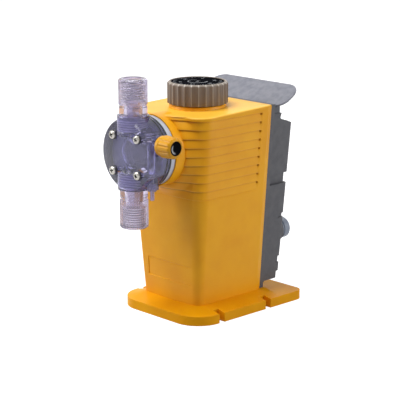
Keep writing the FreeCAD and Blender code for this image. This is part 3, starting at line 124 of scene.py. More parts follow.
def softened(points: list[tuple[float, float]], radius: float, steps: int = 5,
             closed: bool = False) -> np.ndarray:
    """Rounds the corners of a profile: each corner becomes a parabola between two points beside it.

    Args:
        points: the profile's corners.
        radius: how far from a corner its rounding starts.
        steps: points along each rounding.
        closed: whether the last corner joins the first.

    Returns:
        The rounded profile, one point per row.
    """
    spots = np.array(points, float)
    back, ahead = np.roll(spots, 1, 0) - spots, np.roll(spots, -1, 0) - spots
    back_length, ahead_length = np.linalg.norm(back, axis=1), np.linalg.norm(ahead, axis=1)
    reach = np.minimum(radius, 0.45 * np.minimum(back_length, ahead_length))
    if not closed:
        reach[[0, -1]] = 0
    first = spots + back * (reach / back_length)[:, None]
    last = spots + ahead * (reach / ahead_length)[:, None]
    t = np.linspace(0, 1, steps)[None, :, None]
    curve = (1 - t) ** 2 * first[:, None] + 2 * t * (1 - t) * spots[:, None] + t ** 2 * last[:, None]
    rows = curve.reshape(-1, 2)
    gaps = np.linalg.norm(np.diff(rows, axis=0), axis=1)
    return rows[np.r_[True, gaps > 1e-7]]


def loft(rows: np.ndarray, closed: bool = False, capped: bool = True, wrapped: bool = True,
         wear: np.ndarray | None = None) -> Solid:
    """Joins the neighbouring rows of a grid of points with quads.

    Args:
        rows: the grid, as row, column and coordinate.
        closed: whether the last row joins the first, as round a tube's wall.
        capped: whether flat faces close the first and the last row.
        wrapped: whether each row closes on itself.
        wear: each point's painted light, a painted highlight above zero and painted shade below zero.

    Returns:
        The surface as a solid.
    """
    count, columns = rows.shape[:2]
    r = np.arange(count if closed else count - 1)[:, None]
    c = np.arange(columns if wrapped else columns - 1)[None, :]
    over, across = (r + 1) % count, (c + 1) % columns
    quads = np.stack([r * columns + c, r * columns + across, over * columns + across, over * columns + c], -1)
    faces = quads.reshape(-1, 4).tolist()
    if capped and wrapped and not closed:
        faces.append(list(range(columns))[::-1])
        faces.append(list(range((count - 1) * columns, count * columns)))
    painted_shading = np.zeros(count * columns) if wear is None else np.broadcast_to(wear, (count, columns)).ravel()
    return Solid(rows.reshape(-1, 3), faces, painted_shading)


def turned(line: Line, profile: np.ndarray, columns: int = 96, closed: bool = False,
           relief: np.ndarray | None = None, depth: np.ndarray | None = None,
           wear: np.ndarray | None = None) -> Solid:
    """Turns a profile about a line, with its radius cut by a relief round the turn.

    Args:
        line: what the profile turns about.
        profile: radius and height per row.
        columns: points round the turn.
        closed: whether the profile closes on itself.
        relief: the cut's share at each column.
        depth: how deep the cut is at each row of the profile.
        wear: each point's painted light, a painted highlight above zero and painted shade below zero.

    Returns:
        The turned solid.
    """
    radius = np.repeat(profile[:, :1], columns, 1)
    if relief is not None:
        radius = radius - depth[:, None] * relief[None, :]
    height = np.repeat(profile[:, 1:], columns, 1)
    rows = line.sweep(radius, height, np.broadcast_to(full_turn(columns), radius.shape))
    return loft(rows, closed=closed, wear=wear)


def rounded_outline(half_width: float, low: float, high: float, low_corner: float, high_corner: float,
                    inset: np.ndarray, steps: int = 12) -> np.ndarray:
    """A rectangle with round corners in a plane, drawn in by an inset: four quarter circles joined by lines.

    Args:
        half_width: half the width about zero.
        low: where the near side lies.
        high: where the far side lies.
        low_corner: radius of the near corners.
        high_corner: radius of the far corners.
        inset: how far each row is drawn in.
        steps: points on each corner.

    Returns:
        The outline's points as row, column and coordinate.
    """
    quarter = np.linspace(0, math.pi / 2, steps)
    parts = []
    for index, (side, end, radius) in enumerate(((1, high, high_corner), (-1, high, high_corner),
                                                 (-1, low, low_corner), (1, low, low_corner))):
        angle = quarter + index * math.pi / 2
        middle = (side * (half_width - radius), end + (-radius if end == high else radius))
        drawn = np.maximum(radius - inset, 0.02 * radius)[:, None]
        parts.append(np.stack([middle[0] + drawn * np.cos(angle), middle[1] + drawn * np.sin(angle)], -1))
    return np.concatenate(parts, 1)


def joined(solids: list[Solid]) -> Solid:
    """Puts several solids into one list of vertices and faces.

    Args:
        solids: the solids, in order.

    Returns:
        All of them as one solid.
    """
    starts = np.cumsum([0] + [len(solid.vertices) for solid in solids])
    faces = [[start + index for index in face]
             for solid, start in zip(solids, starts) for face in solid.faces]
    return Solid(np.concatenate([solid.vertices for solid in solids]), faces,
                 np.concatenate([solid.wear for solid in solids]))


def moved(solid: Solid, matrix: Matrix) -> Solid:
    """The same solid carried by a matrix.

    Args:
        solid: what is moved.
        matrix: its turn and its shift.

    Returns:
        The moved solid.
    """
    turn = np.array(matrix.to_3x3())
    return Solid(solid.vertices @ turn.T + np.array(matrix.translation), solid.faces, solid.wear)


def figures(text: str, height: float, thickness: float) -> Solid:
    """Plain figures lying flat about the origin.

    Args:
        text: the figures.
        height: their nominal size.
        thickness: how thick the print is.

    Returns:
        The figures as a solid.
    """
    curve = bpy.data.curves.new("figures", "FONT")
    curve.body, curve.size, curve.extrude = text, height, thickness / 2
    curve.align_x, curve.align_y, curve.resolution_u = "CENTER", "CENTER", 3
    holder = bpy.data.objects.new("figures", curve)
    bpy.context.scene.collection.objects.link(holder)
    mesh = bpy.data.meshes.new_from_object(holder.evaluated_get(bpy.context.evaluated_depsgraph_get()))
    places = np.zeros(len(mesh.vertices) * 3)
    mesh.vertices.foreach_get("co", places)
    faces = [list(polygon.vertices) for polygon in mesh.polygons]
    bpy.data.objects.remove(holder)
    bpy.data.curves.remove(curve)
    bpy.data.meshes.remove(mesh)
    return Solid(places.reshape(-1, 3), faces, np.zeros(len(places) // 3))


def slab(width: float, depth: float, thickness: float, corner: float, edge: float) -> Solid:
    """A flat plate about the origin with round corners and eased edges, from Z = 0 upwards.

    Args:
        width: its length along X.
        depth: its length along Y.
        thickness: its height.
        corner: radius of its corners.
        edge: radius of its eased edges.

    Returns:
        The plate as a solid.
    """
    ease = np.linspace(0, math.pi / 2, 4)
    inset = np.r_[edge * (1 - np.cos(ease[::-1])), edge * (1 - np.cos(ease))]
    height = np.r_[edge * (1 - np.sin(ease[::-1])), thickness - edge * (1 - np.sin(ease))]
    flat = rounded_outline(width / 2, -depth / 2, depth / 2, corner, corner, inset, 6)
    rows = np.concatenate([flat, np.repeat(height[:, None, None], flat.shape[1], 1)], -1)
    return loft(rows)


def to_mesh(name: str, solid: Solid, crease: float) -> bpy.types.Mesh:
    """Makes a mesh with merged doubles, outward faces and smooth shading up to a crease angle.

    Args:
        name: the mesh's name.
        solid: its vertices and faces.
        crease: angle in degrees past which an edge looks sharp.

    Returns:
        The mesh.
    """
    mesh = bpy.data.meshes.new(name)
    mesh.from_pydata(solid.vertices.tolist(), [], solid.faces)
    mesh.attributes.new(PAINTED_LIGHT_NAME, "FLOAT", "POINT").data.foreach_set("value", solid.wear.astype(np.float32))
    return welded(mesh, crease)


def welded(mesh: bpy.types.Mesh, crease: float, flatten: float = 0.0) -> bpy.types.Mesh:
    """Merges a mesh's doubles, joins its flat faces, turns its faces outwards and shades it.

    Args:
        mesh: the mesh to tidy.
        crease: angle in degrees past which an edge looks sharp.
        flatten: angle in degrees below which neighbouring faces become one.

    Returns:
        The same mesh.
    """
    work = bmesh.new()
    work.from_mesh(mesh)
    bmesh.ops.remove_doubles(work, verts=work.verts, dist=0.002 * MM)
    bmesh.ops.dissolve_degenerate(work, edges=work.edges, dist=0.001 * MM)
    if flatten:
        bmesh.ops.dissolve_limit(work, angle_limit=math.radians(flatten), verts=work.verts, edges=work.edges)
    bmesh.ops.recalc_face_normals(work, faces=work.faces)
    work.to_mesh(mesh)
    work.free()
    if "custom_normal" in mesh.attributes:
        mesh.attributes.remove(mesh.attributes["custom_normal"])
    mesh.shade_smooth()
    mesh.set_sharp_from_angle(angle=math.radians(crease))
    return mesh


# Finishes

Colour = tuple[float, float, float]


def ink(red: int, green: int, blue: int) -> Colour:
    """A display colour from 0 to 255 as linear light.

    Args:
        red: its red part.
        green: its green part.
        blue: its blue part.

    Returns:
        The three parts from 0 to 1.
    """
    share = np.array([red, green, blue]) / 255
    light = np.where(share <= 0.04045, share / 12.92, ((share + 0.055) / 1.055) ** 2.4)
    return tuple(float(part) for part in light)


class Recipe:
    """A node material that is put together step by step on Object coordinates."""

    def __init__(self, name: str) -> None:
        """Starts from one Principled shader.

        Args:
            name: the material's name.
        """
        self.material = bpy.data.materials.new(name)
        self.material.use_nodes = True
        self.tree = self.material.node_tree
        self.shader = self.tree.nodes["Principled BSDF"]
        self.place = self.tree.nodes.new("ShaderNodeTexCoord").outputs["Object"]

    def feed(self, socket: bpy.types.NodeSocket, value: object) -> None:
        """Links a socket to another one or sets its value.

        Args:
            socket: the socket that takes the value.
            value: another socket, a number, a vector or a colour of three parts.
        """
        if isinstance(value, bpy.types.NodeSocket):
            self.tree.links.new(value, socket)
        elif socket.type == "RGBA":
            socket.default_value = (*value, 1)
        else:
            socket.default_value = value

    def set(self, **values: object) -> None:
        """Sets or feeds the shader's own sockets; an underscore stands for a space."""
        for name, value in values.items():
            self.feed(self.shader.inputs[name.replace("_", " ")], value)

    def node(self, kind: str, **values: object) -> bpy.types.Node:
        """Adds a node and sets or feeds its sockets; an underscore stands for a space.

        Args:
            kind: the node's type, without its first words.
            values: what each named socket takes.

        Returns:
            The new node.
        """
        node = self.tree.nodes.new(f"ShaderNode{kind}")
        for name, value in values.items():
            self.feed(node.inputs[name.replace("_", " ")], value)
        return node

    def noise(self, size: float, detail: float = 3.0,
              stretch: tuple[float, float, float] = (1, 1, 1)) -> bpy.types.NodeSocket:
        """Noise with features of a given size, as a factor from 0 to 1.

        Args:
            size: how large its features are.
            detail: how many finer layers it has.
            stretch: its scale along each axis.

        Returns:
            The factor's socket.
        """
        mapping = self.node("Mapping", Vector=self.place, Scale=stretch)
        texture = self.node("TexNoise", Vector=mapping.outputs["Vector"], Scale=1 / size, Detail=detail)
        return texture.outputs["Fac"]

    def bands(self, pitch: float, axis: Axis) -> bpy.types.NodeSocket:
        """Even waves of a given pitch along an axis.

        Args:
            pitch: from wave to wave.
            axis: which way they follow.

        Returns:
            The waves' socket.
        """
        texture = self.node("TexWave", Vector=self.place, Scale=math.pi / (10 * pitch))
        texture.bands_direction = axis.name
        return texture.outputs["Fac"]

    def spread(self, factor: object, low: float, high: float, out_low: float,
               out_high: float) -> bpy.types.NodeSocket:
        """Maps a factor's range onto another.

        Args:
            factor: the factor's socket.
            low: its value at out_low.
            high: its value at out_high.
            out_low: the result at low.
            out_high: the result at high.

        Returns:
            The result's socket.
        """
        limits = {"From Min": low, "From Max": high, "To Min": out_low, "To Max": out_high}
        return self.node("MapRange", Value=factor, **limits).outputs["Result"]

    def mix(self, factor: object, first: object, second: object) -> bpy.types.NodeSocket:
        """Mixes two colours, each a colour or a socket, by a factor.

        Args:
            factor: 0 for the first colour, 1 for the second.
            first: a colour or a socket.
            second: a colour or a socket.

        Returns:
            The mixed colour's socket.
        """
        node = self.node("Mix")
        node.data_type = "RGBA"
        for place, value in ((0, factor), (6, first), (7, second)):
            self.feed(node.inputs[place], value)
        return node.outputs[2]

    def painted_shading(self) -> bpy.types.NodeSocket:
        """The painted light and shade that a piece's own mesh carries.

        Returns:
            The painted light's socket.
        """
        node = self.node("Attribute")
        node.attribute_name = PAINTED_LIGHT_NAME
        return node.outputs["Fac"]

    def below(self) -> bpy.types.NodeSocket:
        """How far the painted light lies below zero, where it stands for painted shade."""
        return self.spread(self.painted_shading(), 0, -1, 0, 1)

    def bump(self, height: object, distance: float) -> None:
        """Raises the surface by a height, on top of any bump before it.

        Args:
            height: the height's socket.
            distance: how high a height of 1 stands.
        """
        node = self.node("Bump", Height=height, Distance=distance, Strength=1.0)
        before = self.shader.inputs["Normal"]
        if before.is_linked:
            self.feed(node.inputs["Normal"], before.links[0].from_socket)
        self.feed(before, node.outputs["Normal"])


@dataclass(frozen=True)
class Finish:
    """A finish and the node material made from it."""

    name: str

    def make(self) -> bpy.types.Material:
        """Builds the node material.

        Returns:
            The material.
        """
        recipe = Recipe(self.name)
        self.fill(recipe)
        return recipe.material

    def fill(self, recipe: Recipe) -> None:
        """Adds what the finish is made of; each kind of finish has its own.

        Args:
            recipe: the material it adds to.
        """
        raise NotImplementedError


@dataclass(frozen=True)
class Plastic(Finish):
    """Moulded plastic: slow patches of tone, a fine moulded grain, painted highlights in the edge colour and
    painted shade.
    """

    tone: Colour
    patch: Colour
    # colour of the painted highlights, mixed in where the painted light is above zero
    edge: Colour
    roughness: float = 0.42
    patch_size: float = 28 * MM
    grain: float = 0.45 * MM
    relief: float = 0.012 * MM
    gloss: float = 0.5
    # share of the tone kept in the painted shade, where the painted light is below zero
    shade_share: Colour = (0.45, 0.34, 0.3)
    swell_size: float = 9 * MM
    swell: float = 0.03 * MM

    def fill(self, recipe: Recipe) -> None:
        """Adds patches, painted shade where the painted light is below zero, painted highlights where it is
        above, and grain.

        Args:
            recipe: the material it adds to.
        """
        patches = recipe.spread(recipe.noise(self.patch_size, 4), 0.35, 0.65, 0, 1)
        grain = recipe.noise(self.grain, 2)
        # painted shade: the tone darkened by that share where the painted light is below zero
        shaded_tone = tuple(part * share for part, share in zip(self.tone, self.shade_share))
        tone = recipe.mix(recipe.below(), recipe.mix(patches, self.tone, self.patch), shaded_tone)
        # painted highlight: the edge colour mixed in where the painted light is above zero
        recipe.set(Specular_IOR_Level=self.gloss, Base_Color=recipe.mix(recipe.painted_shading(), tone, self.edge),
                   Roughness=recipe.spread(grain, 0.3, 0.7, self.roughness - 0.05, self.roughness + 0.05))
        recipe.bump(grain, self.relief)
        recipe.bump(recipe.noise(self.swell_size, 1), self.swell)


@dataclass(frozen=True)
class ClearPlastic(Finish):
    """Clear tinted plastic with faint flow marks from the mould."""

    tint: Colour
    veil: Colour
    roughness: float = 0.06
    index: float = 1.49
    wave: float = 0.03 * MM
    clear: float = 0.88
    # colour of the painted shade in deep places
    depth: Colour = (0.02, 0.02, 0.04)
    flow_size: float = 14 * MM

    def fill(self, recipe: Recipe) -> None:
        """Adds the flow marks in tone, roughness and relief, and painted shade in deep places, where the
        painted light is below zero.

        Args:
            recipe: the material it adds to.
        """
        flow = recipe.noise(self.flow_size, 2, (1, 1, 0.4))
        tone = recipe.mix(recipe.spread(flow, 0.4, 0.65, 0, 1), self.tint, self.veil)
        recipe.set(Transmission_Weight=self.clear, IOR=self.index,
                   # painted shade: the tint darkened towards that colour where the painted light is below
                   # zero
                   Base_Color=recipe.mix(recipe.below(), tone, self.depth),
                   Roughness=recipe.spread(flow, 0.3, 0.7, self.roughness * 0.6, self.roughness * 1.6))
        recipe.bump(flow, self.wave)


@dataclass(frozen=True)
class Metal(Finish):
    """Turned or rolled metal with fine lines and faint stains."""

    tone: Colour
    stain: Colour
    roughness: float = 0.28
    lines: tuple[float, float, float] = (1, 1, 12)
    line_size: float = 0.8 * MM
    stain_size: float = 6 * MM
    relief: float = 0.006 * MM
    # colour of the painted shade in recesses, where the painted light is below zero
    recess_shade: Colour = (0.004, 0.004, 0.004)

    def fill(self, recipe: Recipe) -> None:
        """Adds stains, painted shade where the painted light is below zero, and lines in roughness and
        relief.

        Args:
            recipe: the material it adds to.
        """
        stains = recipe.spread(recipe.noise(self.stain_size, 5), 0.45, 0.75, 0, 1)
        lines = recipe.noise(self.line_size, 3, self.lines)
        tone = recipe.mix(stains, self.tone, self.stain)
        # painted shade where the painted light is below zero
        recipe.set(Metallic=1.0, Base_Color=recipe.mix(recipe.below(), tone, self.recess_shade),
                   Roughness=recipe.spread(lines, 0.3, 0.7, self.roughness - 0.06, self.roughness + 0.1))
        recipe.bump(lines, self.relief)


@dataclass(frozen=True)
class Wound(Finish):
    """Something with even turns or leaves along an axis, such as copper wire or stacked iron."""

    tone: Colour
    gap: Colour
    pitch: float
    axis: Axis
    metallic: float = 1.0
    haze_size: float = 2 * MM
    relief: float = 0.12 * MM

    def fill(self, recipe: Recipe) -> None:
        """Adds the turns in tone and relief, with dark gaps between them.

        Args:
            recipe: the material it adds to.
        """
        turns = recipe.bands(self.pitch, self.axis)
        recipe.set(Metallic=self.metallic,
                   Base_Color=recipe.mix(recipe.spread(turns, 0, 0.5, 0, 1), self.gap, self.tone),
                   Roughness=recipe.spread(recipe.noise(self.haze_size), 0.3, 0.7, 0.3, 0.45))
        recipe.bump(turns, self.relief)


# The third yellow is the painted highlight colour of the yellow plastics. The third colour of each plastic
# below is its painted highlight.
YELLOW, YELLOW_DEEP, YELLOW_HIGHLIGHT = ink(246, 176, 22), ink(240, 165, 16), ink(255, 208, 92)

FINISHES = {finish.name: finish for finish in (
    Plastic("yellow_casing", YELLOW, YELLOW_DEEP, YELLOW_HIGHLIGHT, 0.40, gloss=0.25),
    Plastic("yellow_base", ink(246, 172, 12), ink(240, 162, 8), YELLOW_HIGHLIGHT, 0.42, gloss=0.1),
    Plastic("yellow_knob", ink(224, 162, 4), ink(214, 150, 2), ink(246, 200, 84), 0.3, gloss=0.3),
    Plastic("grey_housing", ink(84, 84, 88), ink(74, 74, 79), ink(134, 135, 142), 0.62, 9 * MM, 0.6 * MM,
            0.05 * MM),
    Plastic("grey_hood", ink(126, 127, 136), ink(108, 110, 121), ink(182, 184, 192), 0.5, 7 * MM, 0.6 * MM,
            0.03 * MM),
    Plastic("ring_grey", ink(204, 209, 224), ink(190, 196, 212), ink(226, 230, 240), 0.35),
    Plastic("gland_grey", ink(136, 145, 162), ink(122, 131, 148), ink(196, 202, 214), 0.38),
    Plastic("brown_dial", ink(116, 101, 86), ink(103, 89, 76), ink(214, 206, 196), 0.45),
    Plastic("black_face", ink(22, 23, 27), ink(17, 18, 21), ink(225, 228, 235), 0.3, gloss=0.0),
    Plastic("black_rubber", ink(36, 38, 44), ink(28, 30, 36), ink(70, 72, 78), 0.6),
    Plastic("panel_film", ink(58, 61, 68), ink(50, 53, 60), ink(110, 112, 118), 0.4, 12 * MM,
            0.25 * MM, 0.015 * MM),
    Plastic("key_green", ink(60, 150, 92), ink(50, 136, 82), ink(120, 190, 145), 0.4),
    Plastic("key_red", ink(196, 58, 50), ink(180, 48, 42), ink(228, 120, 110), 0.4),
    Plastic("key_grey", ink(176, 179, 184), ink(164, 167, 173), ink(214, 216, 220), 0.4),
    Plastic("display_grey", ink(168, 182, 160), ink(158, 172, 150), ink(190, 200, 184), 0.3),
    Plastic("nylon", ink(226, 222, 208), ink(214, 209, 194), ink(240, 238, 230), 0.4),
    Plastic("board_green", ink(40, 96, 62), ink(32, 80, 50), ink(120, 150, 125), 0.35, 6 * MM),
    Plastic("capacitor_can", ink(40, 46, 66), ink(34, 40, 58), ink(150, 155, 165), 0.3),
    Plastic("ball_ceramic", ink(236, 234, 228), ink(228, 226, 220), ink(250, 250, 248), 0.12),
    ClearPlastic("clear_head", ink(190, 187, 226), ink(178, 175, 218), clear=0.92),
    ClearPlastic("clear_joint", ink(218, 210, 230), ink(202, 194, 218), clear=0.82),
    ClearPlastic("window_clear", ink(228, 234, 236), ink(220, 228, 230), 0.04, clear=1.0),
    Metal("stainless", ink(178, 175, 168), ink(140, 136, 128), 0.2),
    Metal("steel", ink(168, 168, 170), ink(132, 130, 130), 0.36),
    Metal("yoke_steel", ink(150, 152, 156), ink(118, 120, 124), 0.42),
    Metal("bronze", ink(188, 142, 84), ink(152, 108, 62), 0.35),
    Wound("copper_winding", ink(196, 112, 62), ink(96, 46, 24), 0.5 * MM, Axis.Y),
    Wound("transformer_iron", ink(92, 92, 96), ink(44, 44, 48), 0.5 * MM, Axis.Z, 0.8),
    Plastic("print_white", ink(150, 152, 156), ink(136, 138, 142), ink(250, 250, 250), 0.5, gloss=0.1),
    Metal("washer_dark", ink(74, 74, 80), ink(52, 52, 58), 0.34),
    # a dark tone that paints the shade the diaphragm sits in behind the clear head
    Plastic("disc_deep", ink(38, 28, 66), ink(26, 24, 58), ink(190, 192, 200), 0.4, 9 * MM),
    Plastic("disc_rim", ink(116, 116, 146), ink(92, 94, 128), ink(210, 212, 226), 0.4, 11 * MM),
    # its last colour share darkens the thread's roots as painted shade
    Plastic("thread_lilac", ink(176, 170, 202), ink(158, 152, 188), ink(220, 216, 236), 0.3,
            shade_share=(0.2, 0.2, 0.3)),
)}
materials: dict[str, bpy.types.Material] = {}


def finish_of(name: str) -> bpy.types.Material:
    """The material of a slot or finish, made when it is first asked for.

    Args:
        name: the slot or finish.

    Returns:
        Its material.
    """
    if name not in materials:
        materials[name] = FINISHES[name].make()
    return materials[name]


# Pieces

def span(node: str) -> tuple[np.ndarray, np.ndarray]:
    """The lowest and the highest corner of a node, as arrays."""
    low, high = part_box(node)
    return np.array(low), np.array(high)


def fitted(name: str, mesh: bpy.types.Mesh, body: str, slot: str, replaced: tuple[str, ...] = (),
           finish: str = "") -> bpy.types.Object:
    """Puts a mesh into the scene as a finished piece.

    Args:
        name: the piece's name.
        mesh: its finished mesh, in the row frame.
        body: the body it rides on.
        slot: the record's material slot it belongs to.
        replaced: the nodes it stands for.
        finish: its own finish where the slot's isn't meant.

    Returns:
        The new object.
    """
    piece = bpy.data.objects.new(name, mesh)
    bpy.context.scene.collection.objects.link(piece)
    mesh.materials.clear()
    mesh.materials.append(finish_of(finish or slot))
    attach(piece, body)
    if replaced:
        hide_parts(*replaced)
    LOG.info("%s rides on %s with %d faces", name, body, len(mesh.polygons))
    return piece


def formed(name: str, solid: Solid, body: str, slot: str, *replaced: str, crease: float = 30,
           finish: str = "") -> bpy.types.Object:
    """Makes a solid into a finished piece.

    Args:
        name: the piece's name.
        solid: its vertices and faces.
        body: the body it rides on.
        slot: the record's material slot it belongs to.
        replaced: the nodes it stands for.
        crease: angle in degrees past which an edge looks sharp.
        finish: its own finish where the slot's isn't meant.

    Returns:
        The new object.
    """
    return fitted(name, to_mesh(name, solid, crease), body, slot, replaced, finish)


def eased(name: str, node: str, body: str, slot: str, edge: float, crease: float = 32.0,
          segments: int = 2, finish: str = "") -> bpy.types.Object:
    """A copy of a node with its triangles merged into faces and its edges eased.

    Args:
        name: the new piece's name.
        node: the node it stands for.
        body: the body it rides on.
        slot: its material slot.
        edge: how wide its edges are eased.
        crease: angle in degrees past which an edge looks sharp.
        segments: faces across each eased edge.
        finish: its own finish where the slot's isn't meant.

    Returns:
        The new object.
    """
    mesh = welded(frame["nodes"][node].data.copy(), crease, flatten=0.5)
    mesh.attributes.new(PAINTED_LIGHT_NAME, "FLOAT", "POINT")
    piece = fitted(name, mesh, body, slot, (node,), finish)
    bevel = piece.modifiers.new("eased_edges", "BEVEL")
    bevel.width, bevel.segments, bevel.limit_method = edge, segments, "ANGLE"
    bevel.angle_limit = math.radians(35)
    return piece


def solidified(piece: bpy.types.Object, thickness: float) -> None:
    """Gives an open skin a wall of a given thickness on its inner side."""
    wall = piece.modifiers.new("wall", "SOLIDIFY")
    wall.thickness, wall.offset = thickness, -1


@dataclass
class Casing:
    """The yellow casing: a tapered skin with overlapping boards, the head's boss and the dial's seat."""

    foot_half_width: float = 38.7 * MM
    foot_front: float = -43 * MM
    roof: float = 204.6 * MM
    roof_tilt: float = math.radians(1.74)
    side_draft: float = math.radians(4.36)
    front_draft: float = math.radians(2.71)
    corner: float = 9 * MM
    far_corner: float = 3 * MM
    corner_growth: float = math.radians(2.4)
    bow: float = 1.2 * MM
    roof_round: float = 1.6 * MM
    board_foot: float = 121.6 * MM
    board_pitch: float = 8.68 * MM
    board_count: int = 9
    board_depth: float = 1.3 * MM
    board_lip: float = 0.35 * MM
    board_rear: float = 31.5 * MM
    pit_length: float = 2.0 * MM
    pit_depth: float = 2.2 * MM
    frame_foot: float = 33.5 * MM
    frame_top: float = 53 * MM
    frame_half: float = 31 * MM
    frame_depth: float = 0.8 * MM
    frame_edge: float = 0.6 * MM
    wall: float = 3 * MM
    boss_radius: float = 35.5 * MM
    seat_radius: float = 27.5 * MM
    head_line: float = 168.6 * MM
    flare: float = 6.5 * MM
    flare_end: float = 47 * MM
    socket: float = 1.2 * MM
    hub: float = 14 * MM
    hub_length: float = 20 * MM
    boss_opening: float = 26 * MM
    dial_line: float = -6 * MM
    dial_bore: float = 7 * MM
    dial_neck: float = 12 * MM
    dial_opening: float = 17 * MM
    corner_steps: int = 13
    FILL = np.array([0.8, 0.6, 0.4, 0.2])
    FLOOR_SHARES = np.array([0, 0.12, 0.3, 0.5, 0.7, 0.9])[:, None, None]
    low: np.ndarray = field(default_factory=lambda: span("main_casing")[0])
    high: np.ndarray = field(default_factory=lambda: span("main_casing")[1])

    def side_places(self) -> np.ndarray:
        """Where the side's columns stand, from the rear edge forward, close together at the boards' end.

        Returns:
            Their places along Y.
        """
        end, pit = self.board_rear, self.pit_length
        near = [self.high[1], self.high[1] - 5 * MM, end + 4 * MM, end + 0.04 * MM, end,
                end - 0.9 * pit, end - pit, end - 2 * pit]
        return np.r_[near, np.linspace(end - 3 * pit, -28 * MM, 12)]

    def front_places(self) -> np.ndarray:
        """Where the front's columns stand, from the frame's edge to the middle.

        Returns:
            Their places along X.
        """
        inner = self.frame_half - self.frame_edge
        return np.r_[self.frame_half, inner, np.linspace(0.9, 0, 12) * inner]

    def outline(self, height: np.ndarray, inset: np.ndarray, far: bool = False) -> np.ndarray:
        """The right half of the casing's outline: a straight side, a quarter circle and a bowed front.

        Args:
            height: height of each point, as row and column.
            inset: how far each point is drawn in along its normal.
            far: whether the corner is the small even one of the left half.

        Returns:
            X, Y and Z of each point.
        """
        climb = height - self.low[2]
        half = self.foot_half_width + climb * math.tan(self.side_draft)
        front = self.foot_front - climb * math.tan(self.front_draft)
        grown = self.corner + climb * math.tan(self.corner_growth)
        radius = np.full_like(half, self.far_corner) if far else grown
        side, flat = self.side_places(), self.front_places()
        sides, turns = len(side), self.corner_steps
        angle = np.linspace(0, math.pi / 2, turns)[None, :]
        x, y = half.copy(), half.copy()
        normal_x, normal_y = np.ones_like(half), np.zeros_like(half)
        y[:, :sides] = side
        bend = slice(sides, sides + turns)
        x[:, bend] = half[:, bend] - radius[:, bend] * (1 - np.cos(angle))
        y[:, bend] = front[:, bend] + radius[:, bend] * (1 - np.sin(angle))
        normal_x[:, bend], normal_y[:, bend] = np.cos(angle), -np.sin(angle)
        face = slice(sides + turns, None)
        room = half[:, face] - radius[:, face]
        squeeze = clamped((room - 0.3 * MM) / flat[0])
        fill = len(self.FILL)
        x[:, face] = np.pad(flat, (fill, 0), mode="edge") * squeeze
        x[:, face][:, :fill] += (room - x[:, face])[:, :fill] * self.FILL
        y[:, face] = front[:, face] - self.bow * (1 - (x[:, face] / room) ** 2)
        normal_x[:, face], normal_y[:, face] = 0, -1
        return np.stack([x - normal_x * inset, y - normal_y * inset, height], -1)

    def facing(self) -> np.ndarray:
        """How far each column looks to the front, from 0 on the side to 1 on the front.

        Returns:
            One share per column.
        """
        bend = np.sin(np.linspace(0, math.pi / 2, self.corner_steps)) ** 2
        front = np.ones(len(self.FILL) + len(self.front_places()))
        return np.r_[np.zeros(len(self.side_places())), bend, front]

    def board_rows(self) -> tuple[np.ndarray, np.ndarray, np.ndarray, np.ndarray]:
        """The boards' rows: each board leans in as it climbs under the next one's lip.

        Returns:
            Heights, insets, shares of the pits' depth and painted light, one per row.
        """
        climb = np.array([0, 0.012, 0.035, 0.07, 0.12, 0.3, 0.5, 0.7, 0.73, 0.76, 0.97, 1.0])
        height = self.board_foot + (np.arange(self.board_count)[:, None] + climb) * self.board_pitch
        lip = clamped(1 - climb / 0.1)
        inset = self.board_depth * climb + self.board_lip * lip ** 2
        pit = clamped((climb - 0.73) / 0.03)
        # painted highlight on each board's lower lip, painted shade under the next board's lip
        wear = 0.35 * lip - 0.8 * clamped((climb - 0.75) / 0.25) ** 3
        return height.ravel(), *(np.tile(row, self.board_count) for row in (inset, pit, wear))

    def plain_rows(self) -> np.ndarray:
        """Heights of the rows below the boards, close together at the frame's edges.

        Returns:
            The heights.
        """
        edge, low, high = self.frame_edge, self.frame_foot, self.frame_top
        return np.r_[self.low[2], self.low[2] + 6 * MM, low - 3 * MM, low, low + edge,
                     np.linspace(low + 5 * MM, high - 5 * MM, 3), high - edge, high,
                     np.linspace(60, 118, 7) * MM, self.board_foot - 0.6 * MM, self.board_foot - 0.1 * MM]

    def roof_rows(self, far: bool) -> np.ndarray:
        """The rows above the boards: a plain band, then a quarter circle that curls in over the sloping roof.

        Args:
            far: whether this is the left half.

        Returns:
            X, Y and Z of each point, as row and column.
        """
        count, top = len(self.facing()), self.board_foot + self.board_count * self.board_pitch
        edge_line = self.outline(np.full((1, count), self.roof), np.zeros((1, count)), far)[0, :, 1]
        roof_line = self.roof + edge_line * math.tan(self.roof_tilt)
        share = np.array([0.03, 0.4, 1.0])[:, None]
        plain = self.outline(top + (roof_line - self.roof_round - top) * share, np.zeros((3, count)), far)
        turn = np.linspace(0, math.pi / 2, 6)[1:, None]
        curl = self.outline(roof_line - self.roof_round * (1 - np.sin(turn)),
                            self.roof_round * (1 - np.cos(turn)) * np.ones(count), far)
        return np.concatenate([plain, curl])

    def flared(self, rows: np.ndarray) -> np.ndarray:
        """Swells the front towards the boss: a smooth cubic step in the distance from the head's line.

        Args:
            rows: the wall's points, as row and column.

        Returns:
            The points, drawn forward near the boss.
        """
        away = np.hypot(rows[..., 0], rows[..., 2] - self.head_line)
        close = clamped((self.flare_end - away) / (self.flare_end - self.boss_radius))
        swell = self.flare * close ** 2 * (3 - 2 * close) * self.facing()
        return rows - swell[..., None] * np.array([0, 1, 0])

